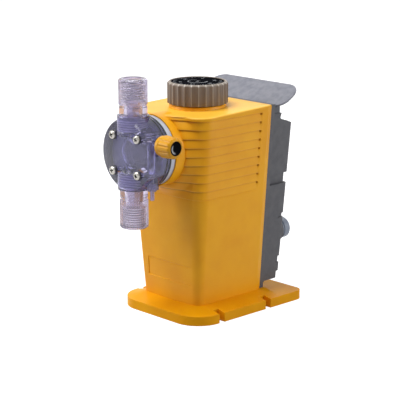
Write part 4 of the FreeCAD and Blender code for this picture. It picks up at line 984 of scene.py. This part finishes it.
    def half_wall(self, far: bool) -> tuple[np.ndarray, np.ndarray]:
        """One half's wall from the floor up to the rim of the roof.

        Args:
            far: whether this is the left half, with the small corner.

        Returns:
            X, Y and Z of each point as row and column, and each point's painted light.
        """
        plain, side, facing = self.plain_rows(), self.side_places(), self.facing()
        board_height, board_inset, pit, wear = self.board_rows()
        count, top = len(facing), self.board_foot + self.board_count * self.board_pitch
        below = np.zeros(len(plain))
        heights = np.r_[plain, board_height, top][:, None] * np.ones(count)
        beyond = (0, count - len(side))
        boarded = np.pad(side < self.board_rear - 0.01 * MM, beyond, constant_values=True).astype(float)
        in_pit = (side < self.board_rear) & (side > self.board_rear - 0.95 * self.pit_length)
        pitted = np.pad(in_pit, beyond).astype(float)
        inset = np.r_[below, board_inset, 0.5 * self.board_lip][:, None] * boarded
        inset += self.pit_depth * np.r_[below, pit, 0][:, None] * pitted
        framed = np.arange(count) > count - len(self.front_places())
        margin = 0.5 * self.frame_edge
        inside = (heights[:, 0] > self.frame_foot + margin) & (heights[:, 0] < self.frame_top - margin)
        inset += self.frame_depth * inside[:, None] * framed
        rows = self.flared(np.concatenate([self.outline(heights, inset, far), self.roof_rows(far)]))
        painted_shading = np.zeros(rows.shape[:2])
        # painted highlights on the lips, stronger towards the front, and painted shade in the pits at the
        # boards' rear ends
        board_painted_light = wear[:, None] * boarded * (0.5 + facing) - pit[:, None] * pitted
        painted_shading[len(plain):len(plain) + len(wear)] = board_painted_light
        # painted highlight along the roof's rounded edge
        painted_shading[-4:-1] = 0.5
        return rows, painted_shading

    def skin(self) -> Solid:
        """The outer skin: rows from the floor's middle line out, up the walls and in over the roof.

        Returns:
            The skin as an open solid.
        """
        share, rows_in = self.FLOOR_SHARES, len(self.FLOOR_SHARES)
        (near, near_painted), (far, far_painted) = self.half_wall(False), self.half_wall(True)
        floor, ridge = near[[0, -1]] * np.array([0, 1, 1])
        halves = [np.concatenate([floor + share * (wall[0] - floor), wall,
                                  ridge + share[::-1] * (wall[-1] - ridge)]) for wall in (near, far)]
        mirrored = halves[1][:, ::-1][:, 1:] * np.array([-1, 1, 1])
        both = np.concatenate([near_painted, far_painted[:, ::-1][:, 1:]], 1)
        painted_shading = np.pad(both, ((rows_in, rows_in), (0, 0)))
        # the roof is painted lighter, a painted highlight
        painted_shading[-rows_in - 1:] = 0.35
        return loft(np.concatenate([halves[0], mirrored], 1), capped=False, wrapped=False, wear=painted_shading)

    def opened(self, mesh: bpy.types.Mesh) -> None:
        """Opens the skin behind the boss and under the dial, where other walls of the casing stand.

        Args:
            mesh: the skin's mesh, which is changed.
        """
        work = bmesh.new()
        work.from_mesh(mesh)
        hidden = []
        for face in work.faces:
            x, y, z = face.calc_center_median()
            before = y < self.foot_front + 2 * MM and math.hypot(x, z - self.head_line) < self.boss_opening
            above = z > self.roof - 3 * MM and math.hypot(x, y - self.dial_line) < self.dial_opening
            if before or above:
                hidden.append(face)
        bmesh.ops.delete(work, geom=hidden, context="FACES")
        work.to_mesh(mesh)
        work.free()

    def boss(self) -> Solid:
        """The round boss behind the pump head: a ring with a lip round the backing ring's socket.

        Returns:
            The boss as a solid.
        """
        face, radius = self.low[1], self.boss_radius
        rear, lip = face + self.hub_length, face - self.socket
        bore = span("backing_ring")[1][2] - self.head_line + 0.15 * MM
        profile = softened([(self.hub, face), (bore, face), (bore, lip), (radius, lip), (radius, rear),
                            (self.hub, rear)], 1.0 * MM, 6, closed=True)
        return turned(Line(Axis.Y, (0, 0, self.head_line)), profile, 144, closed=True)

    def seat(self) -> Solid:
        """The low collar that the dial turns over.

        Returns:
            The collar as a solid.
        """
        top, radius, foot = self.high[2], self.seat_radius, self.roof - 9 * MM
        profile = softened([(self.dial_bore, foot), (self.dial_neck, foot),
                            (self.dial_neck, self.roof - 4 * MM), (radius + 1 * MM, self.roof - 1.5 * MM),
                            (radius, top), (self.dial_bore, top)],
                           0.8 * MM, 4, closed=True)
        return turned(Line(Axis.Z, (0, self.dial_line, 0)), profile, 96, closed=True)

    def build(self) -> None:
        """Makes the casing's pieces."""
        skin = to_mesh("casing_skin", self.skin(), 24)
        self.opened(skin)
        solidified(fitted("casing_skin", skin, "pump_body", "yellow_casing", ("main_casing",)), self.wall)
        formed("casing_rings", joined([self.boss(), self.seat()]), "pump_body", "yellow_casing")


@dataclass
class StrokeDial:
    """The fluted stroke dial with its black face, graduations and figures."""

    flutes: int = 26
    flute_depth: float = 1.0 * MM
    flute_share: float = 0.84
    bevel: float = 1.8 * MM
    face_radius: float = 26.4 * MM
    skirt: float = 3.6 * MM
    web_drop: float = 6.5 * MM
    print_lift: float = 0.04 * MM
    sweep: float = 300.0
    mark_end: float = 24.4 * MM
    long_mark: float = 3.0 * MM
    short_mark: float = 1.8 * MM
    figure_radius: float = 17.6 * MM
    figure_size: float = 4.6 * MM
    arc_radius: float = 9.5 * MM
    arc_steps: int = 60
    columns: int = 26 * 18

    def __post_init__(self) -> None:
        """Reads the dial's place from the frame."""
        low, high = span("stroke_dial")
        self.radius = (high[0] - low[0]) / 2
        self.foot, self.top = low[2], high[2]
        self.line = Line(Axis.Z, (0, (low[1] + high[1]) / 2, 0))
        self.face_top = span("dial_face")[1][2]

    def knob(self) -> Solid:
        """The dial's shell: flutes cut as shallow hollows between narrow ridges, fading over the bevel.

        Returns:
            The shell as a solid.
        """
        phase = np.abs((full_turn(self.columns) * self.flutes / (2 * math.pi)) % 1 - 0.5) * 2
        hollow = clamped(1 - (phase / self.flute_share) ** 2)
        floor, inside = self.top - 1.5 * MM, self.radius - self.skirt
        profile = softened([(0, floor - self.web_drop), (inside, floor - self.web_drop), (inside, self.foot),
                            (self.radius, self.foot), (self.radius, self.top - self.bevel),
                            (self.radius - self.bevel, self.top), (self.face_radius, self.top),
                            (self.face_radius, floor), (0, floor)], 0.5 * MM, 4)
        drop = self.top - profile[:, 1]
        outer = profile[:, 0] > inside + 0.1 * MM
        depth = np.where(outer, self.flute_depth, 0) * clamped(drop / self.bevel)
        # painted highlight along the rim and on the ridges, painted shade in the flutes' hollows
        rim = np.exp(-((0.8 * MM - drop) / (0.7 * MM)) ** 2) * outer
        ridge = clamped((phase - self.flute_share) / (1 - self.flute_share)) ** 0.5
        wear = 0.85 * rim[:, None] + (0.6 * ridge[None, :] - 0.25) * outer[:, None]
        return turned(self.line, profile, self.columns, relief=hollow, depth=depth, wear=np.clip(wear, -1, 1))

    def face(self) -> Solid:
        """The black face: a disc with an eased rim."""
        disc = band(0, self.face_radius - 0.1 * MM, self.face_top - 1 * MM, self.face_top)
        return turned(self.line, softened(disc, 0.25 * MM, 4), 120)

    def placed(self, solid: Solid, radius: float, turn: float, lift: float, twist: float = 0.0) -> Solid:
        """Puts a piece of print on the face.

        Args:
            solid: the print, lying about the origin.
            radius: how far out it goes.
            turn: at which angle, in degrees from X.
            lift: how high above the face.
            twist: its own further turn in degrees.

        Returns:
            The print in its place.
        """
        spot = Matrix.Translation((*self.line.point[:2], self.face_top + lift))
        out = Matrix.Rotation(math.radians(turn), 4, "Z") @ Matrix.Translation((radius, 0, 0))
        return moved(solid, spot @ out @ Matrix.Rotation(math.radians(twist), 4, "Z"))

    def marks(self) -> Solid:
        """Graduations from 0 to 100, figures at every twenty, an arc that widens and a percent sign.

        Returns:
            All the print as one solid.
        """
        start, half = -90 - self.sweep / 2, self.print_lift / 2
        solids = []
        for index in range(41):
            length, width = (self.long_mark, 0.75 * MM) if index % 4 == 0 else (self.short_mark, 0.4 * MM)
            flat = slab(length, width, self.print_lift, 0.2 * width, 0.2 * self.print_lift)
            solids.append(self.placed(flat, self.mark_end - length / 2, start + self.sweep * index / 40, 0))
        for index in range(6):
            figure = figures(str(index * 20), self.figure_size, self.print_lift)
            solids.append(self.placed(figure, self.figure_radius, start + self.sweep * index / 5, half, 90))
        steps = self.arc_steps
        arc = np.linspace(math.radians(start + 20), math.radians(start + self.sweep - 20), steps)
        width = np.array([-0.45, 0.45, 0.45, -0.45]) * MM
        lift = np.array([0, 0, 1, 1]) * self.print_lift + self.face_top
        radius = self.arc_radius + width[:, None] * np.linspace(0.4, 1.6, steps)[None, :]
        rows = self.line.sweep(radius, np.repeat(lift[:, None], steps, 1), np.broadcast_to(arc, radius.shape))
        solids.append(loft(np.swapaxes(rows, 0, 1)))
        solids.append(self.placed(figures("%", 7 * MM, self.print_lift), 0, 0, half))
        return joined(solids)

    def build(self) -> None:
        """Makes the dial's pieces."""
        formed("stroke_dial_knob", self.knob(), "stroke_dial", "brown_dial", "stroke_dial", crease=26)
        formed("stroke_dial_face", self.face(), "stroke_dial", "black_face", "dial_face")
        formed("stroke_dial_marks", self.marks(), "stroke_dial", "black_face", finish="print_white")


@dataclass
class Hood:
    """The grey hood over the control panel: a thin plate with round corners on two hinge lugs."""

    half_width: float = 60.9 * MM
    length: float = 34.3 * MM
    thickness: float = 2.0 * MM
    near_corner: float = 11.5 * MM
    far_corner: float = 17 * MM
    hinge_to_edge: float = 3.1 * MM
    hinge_to_face: float = 5.4 * MM
    knuckle: float = 3 * MM
    knuckle_half: float = 30.3 * MM
    lug_width: float = 8 * MM
    tilt: float = math.radians(29.85)
    hinge: tuple[float, float, float] = (0, 55.5 * MM, 201.3 * MM)
    columns: int = 14

    def plate(self) -> Solid:
        """The plate: its outline drawn in over a round rim, a raised border and a slightly hollow middle.

        Returns:
            The plate as a solid.
        """
        rim = 0.45 * self.thickness
        turn = np.linspace(-math.pi / 2, math.pi / 2, 9)
        inset = np.r_[40 * MM, 2.2 * MM, rim * (1 - np.cos(turn)), 1.6 * MM, 2.4 * MM, 3.2 * MM, 40 * MM]
        low, high = rim, self.thickness - rim
        height = np.r_[0, 0, np.where(turn < 0, low, high) + rim * np.sin(turn), self.thickness,
                       self.thickness - 0.12 * MM, self.thickness - 0.2 * MM, self.thickness - 0.2 * MM]
        limit = 0.499 * self.length
        flat = rounded_outline(self.half_width, 0, self.length, self.near_corner, self.far_corner,
                               np.minimum(inset, limit), self.columns)
        middle = np.array([0, self.length / 2])
        flat[[0, -1]] = middle + (flat[[0, -1]] - middle) * np.array([1, 0.0])
        rows = np.concatenate([flat, np.repeat(height[:, None, None], flat.shape[1], 1)], -1)
        return loft(rows, capped=False)

    def lug(self, start: float) -> Solid:
        """A hinge lug: a block under the plate that ends in a half round, swept along the hinge line.

        Args:
            start: where along X it starts.

        Returns:
            The lug as a solid.
        """
        pin = np.array([self.hinge_to_edge, self.thickness - self.hinge_to_face])
        turn = np.linspace(math.pi, 2 * math.pi, 14)
        shape = np.stack([pin[0] + self.knuckle * np.cos(turn), pin[1] + self.knuckle * np.sin(turn)], -1)
        roots = np.array([[pin[0] + self.knuckle, 0.6 * MM], [pin[0] - self.knuckle, 0.6 * MM]])
        section = np.concatenate([shape, roots])
        across = np.array([start, start + self.lug_width])
        rows = np.concatenate([np.repeat(across[:, None, None], len(section), 1),
                               np.repeat(section[None], 2, 0)], -1)
        return loft(rows)

    def build(self) -> None:
        """Makes the hood at its tilt."""
        lugs = [self.lug(start) for start in (self.knuckle_half, -self.knuckle_half - self.lug_width)]
        pin = Matrix.Translation((0, -self.hinge_to_edge, self.hinge_to_face - self.thickness))
        place = Matrix.Translation(self.hinge) @ Matrix.Rotation(self.tilt, 4, "X") @ pin
        formed("hood_plate", moved(joined([self.plate(), *lugs]), place), "hood", "grey_hood", "hood")


@dataclass
class PumpHead:
    """The clear pump head with its backing ring, dark rims, threads, joints and nipple."""

    joint_flutes: int = 40
    flute_depth: float = 0.32 * MM
    thread_pitch: float = 2.3 * MM
    thread_depth: float = 0.8 * MM
    boss_thread: float = 12.2 * MM
    boss_thread_length: float = 13 * MM
    chamber: float = 17.6 * MM
    flange_radius: float = 34.7 * MM
    seal_radius: float = 35.3 * MM
    rim_radius: float = 34.9 * MM
    rim_width: float = 3 * MM
    ring_recess: float = 2.6 * MM
    port_radius: float = 9.3 * MM
    port_depth: float = 22 * MM
    bore: float = 6 * MM
    collar: float = 8.8 * MM
    neck: float = 1.8 * MM
    spigot: float = 2.5 * MM
    spigot_radius: float = 9.56 * MM

    def __post_init__(self) -> None:
        """Reads the head's lines from the frame."""
        self.seam = span("pump_head")[1][1]
        low, high = span("backing_ring")
        self.line = Line(Axis.Y, (0, 0, (low[2] + high[2]) / 2))
        self.ring_radius = (high[0] - low[0]) / 2
        joint_low, joint_high = span("discharge_joint")
        self.valve_line = Line(Axis.Z, (0, (joint_low[1] + joint_high[1]) / 2, 0))
        self.joint_radius = (joint_high[0] - joint_low[0]) / 2

    def joint(self, node: str, way: int) -> Solid:
        """A clear joint: collar, neck and a fluted sleeve outside, a smooth bore and a threaded port inside.

        Args:
            node: the node that gives its ends.
            way: 1 if its port looks up, -1 if it looks down.

        Returns:
            The joint as a solid.
        """
        low, high = span(node)
        inner_end, port_end = (low[2], high[2]) if way > 0 else (high[2], low[2])
        face = inner_end + way * self.spigot
        neck, sleeve = face + way * self.collar, face + way * (self.collar + self.neck)
        radius, port, spigot = self.joint_radius, self.port_radius, self.spigot_radius
        collar_radius, neck_radius = radius - 0.2 * MM, radius - 0.9 * MM
        floor = port_end - way * self.port_depth
        turns = np.arange(0, (self.port_depth - 3 * MM) / self.thread_pitch, 0.5)
        crest = np.where(turns % 1 == 0, 0, self.thread_depth)
        thread = np.stack([port - crest, port_end - way * (1.5 * MM + turns * self.thread_pitch)], -1)
        outside = softened([(self.bore, inner_end), (spigot, inner_end), (spigot, face),
                            (collar_radius, face), (collar_radius, neck - way * 0.8 * MM),
                            (neck_radius, neck), (neck_radius, sleeve - way * 0.6 * MM), (radius, sleeve),
                            (radius, port_end - way * 1.3 * MM), (radius - 1.4 * MM, port_end),
                            (port, port_end)], 0.6 * MM, 4)
        inside = softened([(port, floor), (self.bore, floor), (self.bore, inner_end)], 0.4 * MM, 3)
        profile = np.concatenate([outside, thread, inside[:-1]])
        fluted = (profile[:, 0] > radius - 0.3 * MM) & (way * (profile[:, 1] - sleeve) > -0.1 * MM)
        columns = self.joint_flutes * 8
        relief = np.abs(np.sin(full_turn(columns) * self.joint_flutes / 2)) ** 3
        thread_shade = np.zeros(len(profile))
        # painted shade on the port's thread
        thread_shade[len(outside):len(outside) + len(thread)] = -0.9 * (crest > 0)
        return turned(self.valve_line, profile, columns, closed=True, relief=relief,
                      depth=np.where(fluted, self.flute_depth, 0), wear=thread_shade[:, None])

    def ring(self) -> Solid:
        """The light backing ring with eased edges.

        Returns:
            The ring as a solid.
        """
        low, high = span("backing_ring")
        bore, floor = self.bore, low[1] + self.ring_recess
        profile = softened([(bore, floor), (18 * MM, floor), (21 * MM, low[1]), (self.ring_radius, low[1]),
                            (self.ring_radius, high[1]), (bore, high[1])], 0.5 * MM, 5, closed=True)
        return turned(self.line, profile, 144, closed=True)

    def thread(self, start: float, way: int) -> Solid:
        """The thread seen in a valve boss: ridges round the valve's line from a start height inwards.

        Args:
            start: the height of its first ridge.
            way: 1 if it climbs, -1 if it goes down.

        Returns:
            The thread as a solid.
        """
        turns = np.arange(0, self.boss_thread_length / self.thread_pitch, 0.5)
        crest = (turns % 1 == 0).astype(float)
        ridges = np.stack([self.boss_thread + 0.5 * MM * crest, start + way * turns * self.thread_pitch], -1)
        inner = np.stack([np.full(2, self.boss_thread - 0.8 * MM), ridges[[-1, 0], 1]], -1)
        # painted shade in the thread's roots
        return turned(self.valve_line, np.concatenate([ridges, inner]), 96, closed=True,
                      wear=np.r_[-0.8 * (1 - crest), 0, 0][:, None])

    def rims(self) -> Solid:
        """Two dark lines round the head: its seal and the diaphragm's edge."""
        profiles = (band(radius - self.rim_width, radius, self.seam + near, self.seam + far)
                    for near, far, radius in ((-3.1 * MM, -1.9 * MM, self.seal_radius),
                                              (0.6 * MM, 2.6 * MM, self.rim_radius)))
        return joined([turned(self.line, softened(profile, 0.3 * MM, 4, closed=True), 144, closed=True)
                       for profile in profiles])

    def flange(self) -> Solid:
        """The diaphragm's rim, seen through the head round its chamber."""
        profile = band(self.chamber, self.flange_radius, self.seam - 0.15 * MM, self.seam + 0.5 * MM)
        return turned(self.line, softened(profile, 0.1 * MM, 3, closed=True), 96, closed=True)

    def build(self) -> None:
        """Makes the head's pieces."""
        formed("head_rims", self.rims(), "pump_body", "black_rubber")
        formed("diaphragm_flange", self.flange(), "pump_body", "black_rubber", finish="disc_rim")
        for start, way in ((span("discharge_joint")[0][2], -1), (span("suction_joint")[1][2], 1)):
            formed("valve_thread", self.thread(start, way), "pump_body", "clear_head", finish="thread_lilac")
        eased("head_block", "pump_head", "pump_body", "clear_head", 0.35 * MM, 30, 3)
        for node, way in (("discharge_joint", 1), ("suction_joint", -1)):
            formed(f"{node}_sleeve", self.joint(node, way), "pump_body", "clear_joint", node, crease=28)
        formed("backing_ring_body", self.ring(), "pump_body", "ring_grey", "backing_ring")
        eased("nipple", "vent_nipple", "pump_body", "clear_joint", 0.25 * MM)


@dataclass
class VentKnob:
    """The yellow vent knob with its ribs and black end cap."""

    ribs: int = 12
    rib_depth: float = 0.8 * MM
    collar_radius: float = 9.7 * MM
    collar_length: float = 5.4 * MM
    end_radius: float = 9.8 * MM
    cap_radius: float = 6.9 * MM
    hollow: float = 6.15 * MM
    cap_depth: float = 1.6 * MM
    columns: int = 12 * 18

    def __post_init__(self) -> None:
        """Reads the knob's place from the frame."""
        low, high = span("vent_knob")
        self.start, self.end = low[0], high[0]
        self.radius = (high[2] - low[2]) / 2
        self.line = Line(Axis.X, (0, (low[1] + high[1]) / 2, (low[2] + high[2]) / 2))
        self.floor = span("vent_needle")[1][0]

    def shell(self) -> Solid:
        """The knob: a collar, a thin gap, a tapered grip with grooves between its ribs and a rounded end.

        Returns:
            The knob as a solid.
        """
        base, collar, lip = self.start + self.collar_length, self.collar_radius, self.cap_radius + 0.9 * MM
        cap, floor, gap_radius = self.cap_radius, self.end - self.cap_depth, collar - 1.2 * MM
        profile = softened([(0, self.floor), (self.hollow, self.floor), (self.hollow, self.start),
                            (collar, self.start), (collar, base - 1.5 * MM), (gap_radius, base - 1.3 * MM),
                            (gap_radius, base - 0.3 * MM), (self.radius, base),
                            (self.end_radius + 0.2 * MM, self.end - 1.6 * MM), (lip, self.end),
                            (cap, self.end), (cap, floor), (0, floor)], 0.7 * MM, 6)
        radius, height = profile.T
        phase = np.abs((full_turn(self.columns) * self.ribs / (2 * math.pi)) % 1 - 0.5)
        groove = clamped(1 - (phase / 0.22) ** 2)
        outer = (radius > lip) & (height > base)
        fade = clamped((height - base) / (1.2 * MM)) * clamped((self.end - height) / (2 * MM))
        # painted shade in the gap behind the collar and in the grooves between the ribs
        gap = np.exp(-((height - base + 0.8 * MM) / (0.7 * MM)) ** 2) * (radius > self.hollow + MM)
        wear = -0.9 * gap[:, None] - 0.2 * (outer * fade)[:, None] * groove[None, :]
        return turned(self.line, profile, self.columns, relief=groove,
                      depth=np.where(outer, self.rib_depth * fade, 0), wear=wear)

    def cap(self) -> Solid:
        """The black end cap: a shallow dome inside a raised lip, with a painted crescent highlight on it.

        Returns:
            The cap as a solid.
        """
        end, radius = self.end, self.cap_radius - 0.03 * MM
        floor = end - self.cap_depth
        profile = softened([(0, floor), (radius, floor), (radius, end + 0.1 * MM),
                            (radius - 1.0 * MM, end + 0.3 * MM), (radius - 1.6 * MM, end - 0.3 * MM),
                            (radius - 4 * MM, end - 0.1 * MM), (0, end)], 0.5 * MM, 5)
        # painted highlight: a pale crescent near the cap's lip
        crescent = clamped(np.cos(full_turn(96) - math.radians(200)) * 2 - 0.6)
        glint = np.exp(-((profile[:, 0] - radius + 2.2 * MM) / (0.6 * MM)) ** 2)
        glint *= profile[:, 1] > end - 0.5 * MM
        return turned(self.line, profile, 96, wear=glint[:, None] * crescent[None, :])

    def build(self) -> None:
        """Makes the knob's pieces."""
        formed("vent_knob_grip", self.shell(), "vent_knob", "yellow_knob", "vent_knob")
        formed("vent_knob_cap", self.cap(), "vent_knob", "black_face", "vent_cap")


@dataclass
class Screws:
    """Pan head screws with a cross recess, each a domed grid with a long shank."""

    steps: int = 45
    head_radius: float = 4.1 * MM
    shank_radius: float = 2 * MM
    cross_half: float = 0.62 * MM
    cross_reach: float = 2.4 * MM
    cross_depth: float = 1.5 * MM

    def head(self, radius: float, height: float) -> Solid:
        """A domed head: a square grid squeezed into a disc, a dome in height less a cross with sloping walls.

        Args:
            radius: the head's radius.
            height: how high it stands over its seat.

        Returns:
            The head as a solid.
        """
        side = np.linspace(-1, 1, self.steps)
        u, v = np.meshgrid(side, side)
        x = u * np.sqrt(1 - v ** 2 / 2) * radius
        y = v * np.sqrt(1 - u ** 2 / 2) * radius
        away = clamped(np.hypot(x, y) / radius)
        dome = height * (0.55 + 0.45 * np.sqrt(1 - 0.98 * away ** 2.6))
        bar = np.minimum(np.abs(x), np.abs(y))
        reach = np.maximum(np.abs(x), np.abs(y))
        cross = clamped((self.cross_half - bar) / (0.25 * MM))
        cross = cross * clamped((self.cross_reach - reach) / (0.7 * MM))
        top = np.stack([x, y, dome - self.cross_depth * cross], -1)
        edge = np.concatenate([top[0, :-1], top[:-1, -1], top[-1, :0:-1], top[:0:-1, 0]])
        foot = edge * np.array([1, 1, 0])
        # painted shade in the cross recess
        return joined([loft(top, capped=False, wrapped=False, wear=-clamped(1.6 * cross)),
                       loft(np.stack([edge, foot]), capped=False), loft(np.stack([foot, foot * 0.5]))])

    def shank(self, radius: float, length: float) -> Solid:
        """A round shank below the head."""
        corners = [(0, 0.2 * MM), (radius, 0.2 * MM), (radius, -length), (0, -length - 0.4 * MM)]
        return turned(Line(Axis.Z), softened(corners, 0.3 * MM), 32)

    def build(self) -> None:
        """Makes the four head screws in their places."""
        low, high = span("head_screws")
        radius, seat = self.head_radius, span("head_washers")[0][1]
        whole = joined([self.head(radius, seat - low[1]), self.shank(self.shank_radius, high[1] - seat)])
        middle, reach = (low[2] + high[2]) / 2, (high[2] - low[2]) / 2 - radius
        solids = []
        for side, level in ((-1, -1), (-1, 1), (1, -1), (1, 1)):
            place = Matrix.Translation((side * (high[0] - radius), seat, middle + level * reach))
            place = place @ Matrix.Rotation(math.pi / 2, 4, "X")
            solids.append(moved(whole, place @ Matrix.Rotation(0.5 * side + 0.8 * level, 4, "Z")))
        formed("head_screw_set", joined(solids), "pump_body", "stainless", "head_screws")


class Bodywork:
    """The pieces whose solids already have their shape: their edges are eased and they get their finish."""

    EASED = (("base_plate_body", "base_plate", "yellow_base", 0.7 * MM, ""),
             ("rear_housing_body", "rear_housing", "grey_housing", 0.6 * MM, ""),
             ("gland_body", "cable_gland", "gland_grey", 0.4 * MM, ""),
             ("gland_nut_body", "gland_nut", "gland_grey", 0.8 * MM, ""),
             ("washer_set", "head_washers", "stainless", 0.2 * MM, "washer_dark"))

    def build(self) -> None:
        """Makes the eased pieces."""
        for name, node, slot, edge, finish in self.EASED:
            eased(name, node, "pump_body", slot, edge, finish=finish)


def dress_nodes() -> None:
    """Gives every node its slot's finish, and the diaphragm a dark tone that paints the shade it sits in
    behind the clear head.
    """
    slots = {part["node"]: part["material_slot"] for part in frame["record"]["subparts"]}
    # painted shade on the diaphragm
    slots["diaphragm"] = "disc_deep"
    for name, node in frame["nodes"].items():
        material = finish_of(slots[name])
        if not node.material_slots:
            node.data.materials.append(material)
        for holder in node.material_slots:
            holder.material = material


# Studio

@dataclass(frozen=True)
class Viewpoint:
    """The camera, solved from the pump's straight edges and circles."""

    azimuth: float = math.radians(46.25)
    elevation: float = math.radians(13.74)
    distance: float = 1510.85 * MM
    aim: tuple[float, float, float] = (0, 0, 110 * MM)
    aside: float = -1.94 * MM
    upward: float = -2.18 * MM
    focal_pixels: float = 1508.44
    frame_pixels: float = 400.0
    sensor: float = 36.0

    def place(self) -> None:
        """Makes the scene's camera."""
        sin_a, cos_a = math.sin(self.azimuth), math.cos(self.azimuth)
        sin_e, cos_e = math.sin(self.elevation), math.cos(self.elevation)
        back = Vector((sin_a * cos_e, -cos_a * cos_e, sin_e))
        right = Vector((cos_a, sin_a, 0))
        up = back.cross(right)
        data = bpy.data.cameras.new("camera")
        data.sensor_width, data.lens = self.sensor, self.sensor * self.focal_pixels / self.frame_pixels
        data.clip_start, data.clip_end = 0.05, 50
        camera = bpy.data.objects.new("camera", data)
        bpy.context.scene.collection.objects.link(camera)
        spot = Vector(self.aim) + right * self.aside + up * self.upward + back * self.distance
        turn = Matrix((right, up, back)).transposed().to_4x4()
        camera.matrix_world = Matrix.Translation(spot) @ turn
        bpy.context.scene.camera = camera


@dataclass(frozen=True)
class Lamp:
    """A soft rectangular lamp that looks at the pump."""

    name: str
    spot: tuple[float, float, float]
    width: float
    height: float
    power: float
    aim: tuple[float, float, float] = (0, 0, 0.11)

    def place(self) -> None:
        """Hangs the lamp."""
        data = bpy.data.lights.new(self.name, "AREA")
        data.shape, data.size, data.size_y, data.energy = "RECTANGLE", self.width, self.height, self.power
        lamp = bpy.data.objects.new(self.name, data)
        bpy.context.scene.collection.objects.link(lamp)
        lamp.location = self.spot
        lamp.rotation_euler = (Vector(self.aim) - Vector(self.spot)).to_track_quat("-Z", "Y").to_euler()


class Studio:
    """White floor and backdrop, soft lamps and an even sky."""

    LAMPS = (Lamp("top_lamp", (-0.25, -0.45, 1.65), 1.0, 1.0, 27.0),
             Lamp("front_lamp", (-1.1, -1.3, 0.7), 0.6, 0.9, 10.0),
             Lamp("side_lamp", (1.3, 0.8, 0.6), 0.5, 0.8, 10.0),
             Lamp("rear_lamp", (-0.6, 1.2, 0.9), 0.9, 0.7, 3.0))
    SKY = 0.18
    FLOOR_TONE = (0.4, 0.4, 0.41)
    FLOOR_GLOW = 0.92
    FLOOR_SIZE = 6.0

    @staticmethod
    def seen_directly(tree: bpy.types.NodeTree) -> object:
        """1 for rays from the camera, from gloss and through clear pieces, otherwise 0.

        Args:
            tree: the node tree that asks.

        Returns:
            The answer's socket.
        """
        path = tree.nodes.new("ShaderNodeLightPath")
        total = path.outputs["Is Camera Ray"]
        for kind in ("Is Glossy Ray", "Is Transmission Ray"):
            node = tree.nodes.new("ShaderNodeMath")
            node.operation, node.use_clamp = "ADD", True
            tree.links.new(total, node.inputs[0])
            tree.links.new(path.outputs[kind], node.inputs[1])
            total = node.outputs[0]
        return total

    def world(self) -> None:
        """An even sky that looks white but lights softly."""
        world = bpy.data.worlds.new("studio")
        bpy.context.scene.world = world
        world.use_nodes = True
        tree = world.node_tree
        background = tree.nodes["Background"]
        background.inputs["Color"].default_value = (1, 1, 1, 1)
        strength = tree.nodes.new("ShaderNodeMapRange")
        strength.inputs["To Min"].default_value = self.SKY
        strength.inputs["To Max"].default_value = 1.0
        tree.links.new(self.seen_directly(tree), strength.inputs["Value"])
        tree.links.new(strength.outputs["Result"], background.inputs["Strength"])

    def floor(self) -> None:
        """A white floor that keeps the pump's soft shadow."""
        half = self.FLOOR_SIZE / 2
        mesh = bpy.data.meshes.new("floor")
        corners = [(-half, -half, 0), (half, -half, 0), (half, half, 0), (-half, half, 0)]
        mesh.from_pydata(corners, [], [(0, 1, 2, 3)])
        floor = bpy.data.objects.new("floor", mesh)
        bpy.context.scene.collection.objects.link(floor)
        recipe = Recipe("floor_white")
        glow = recipe.spread(self.seen_directly(recipe.tree), 0, 1, 0, self.FLOOR_GLOW)
        recipe.set(Base_Color=self.FLOOR_TONE, Roughness=0.9, Specular_IOR_Level=0.1,
                   Emission_Color=(1, 1, 1), Emission_Strength=glow)
        mesh.materials.append(recipe.material)

    def build(self) -> None:
        """Sets the light, the floor and the view's colours."""
        self.world()
        self.floor()
        for lamp in self.LAMPS:
            lamp.place()
        bpy.context.scene.view_settings.view_transform = "Standard"


def main() -> None:
    """Builds the studio and every piece of the pump."""
    logging.basicConfig(level=logging.INFO, format="%(message)s")
    Viewpoint().place()
    Studio().build()
    dress_nodes()
    for assembly in (Casing(), StrokeDial(), Hood(), PumpHead(), VentKnob(), Screws(), Bodywork()):
        assembly.build()


if __name__ == "__main__":
    main()
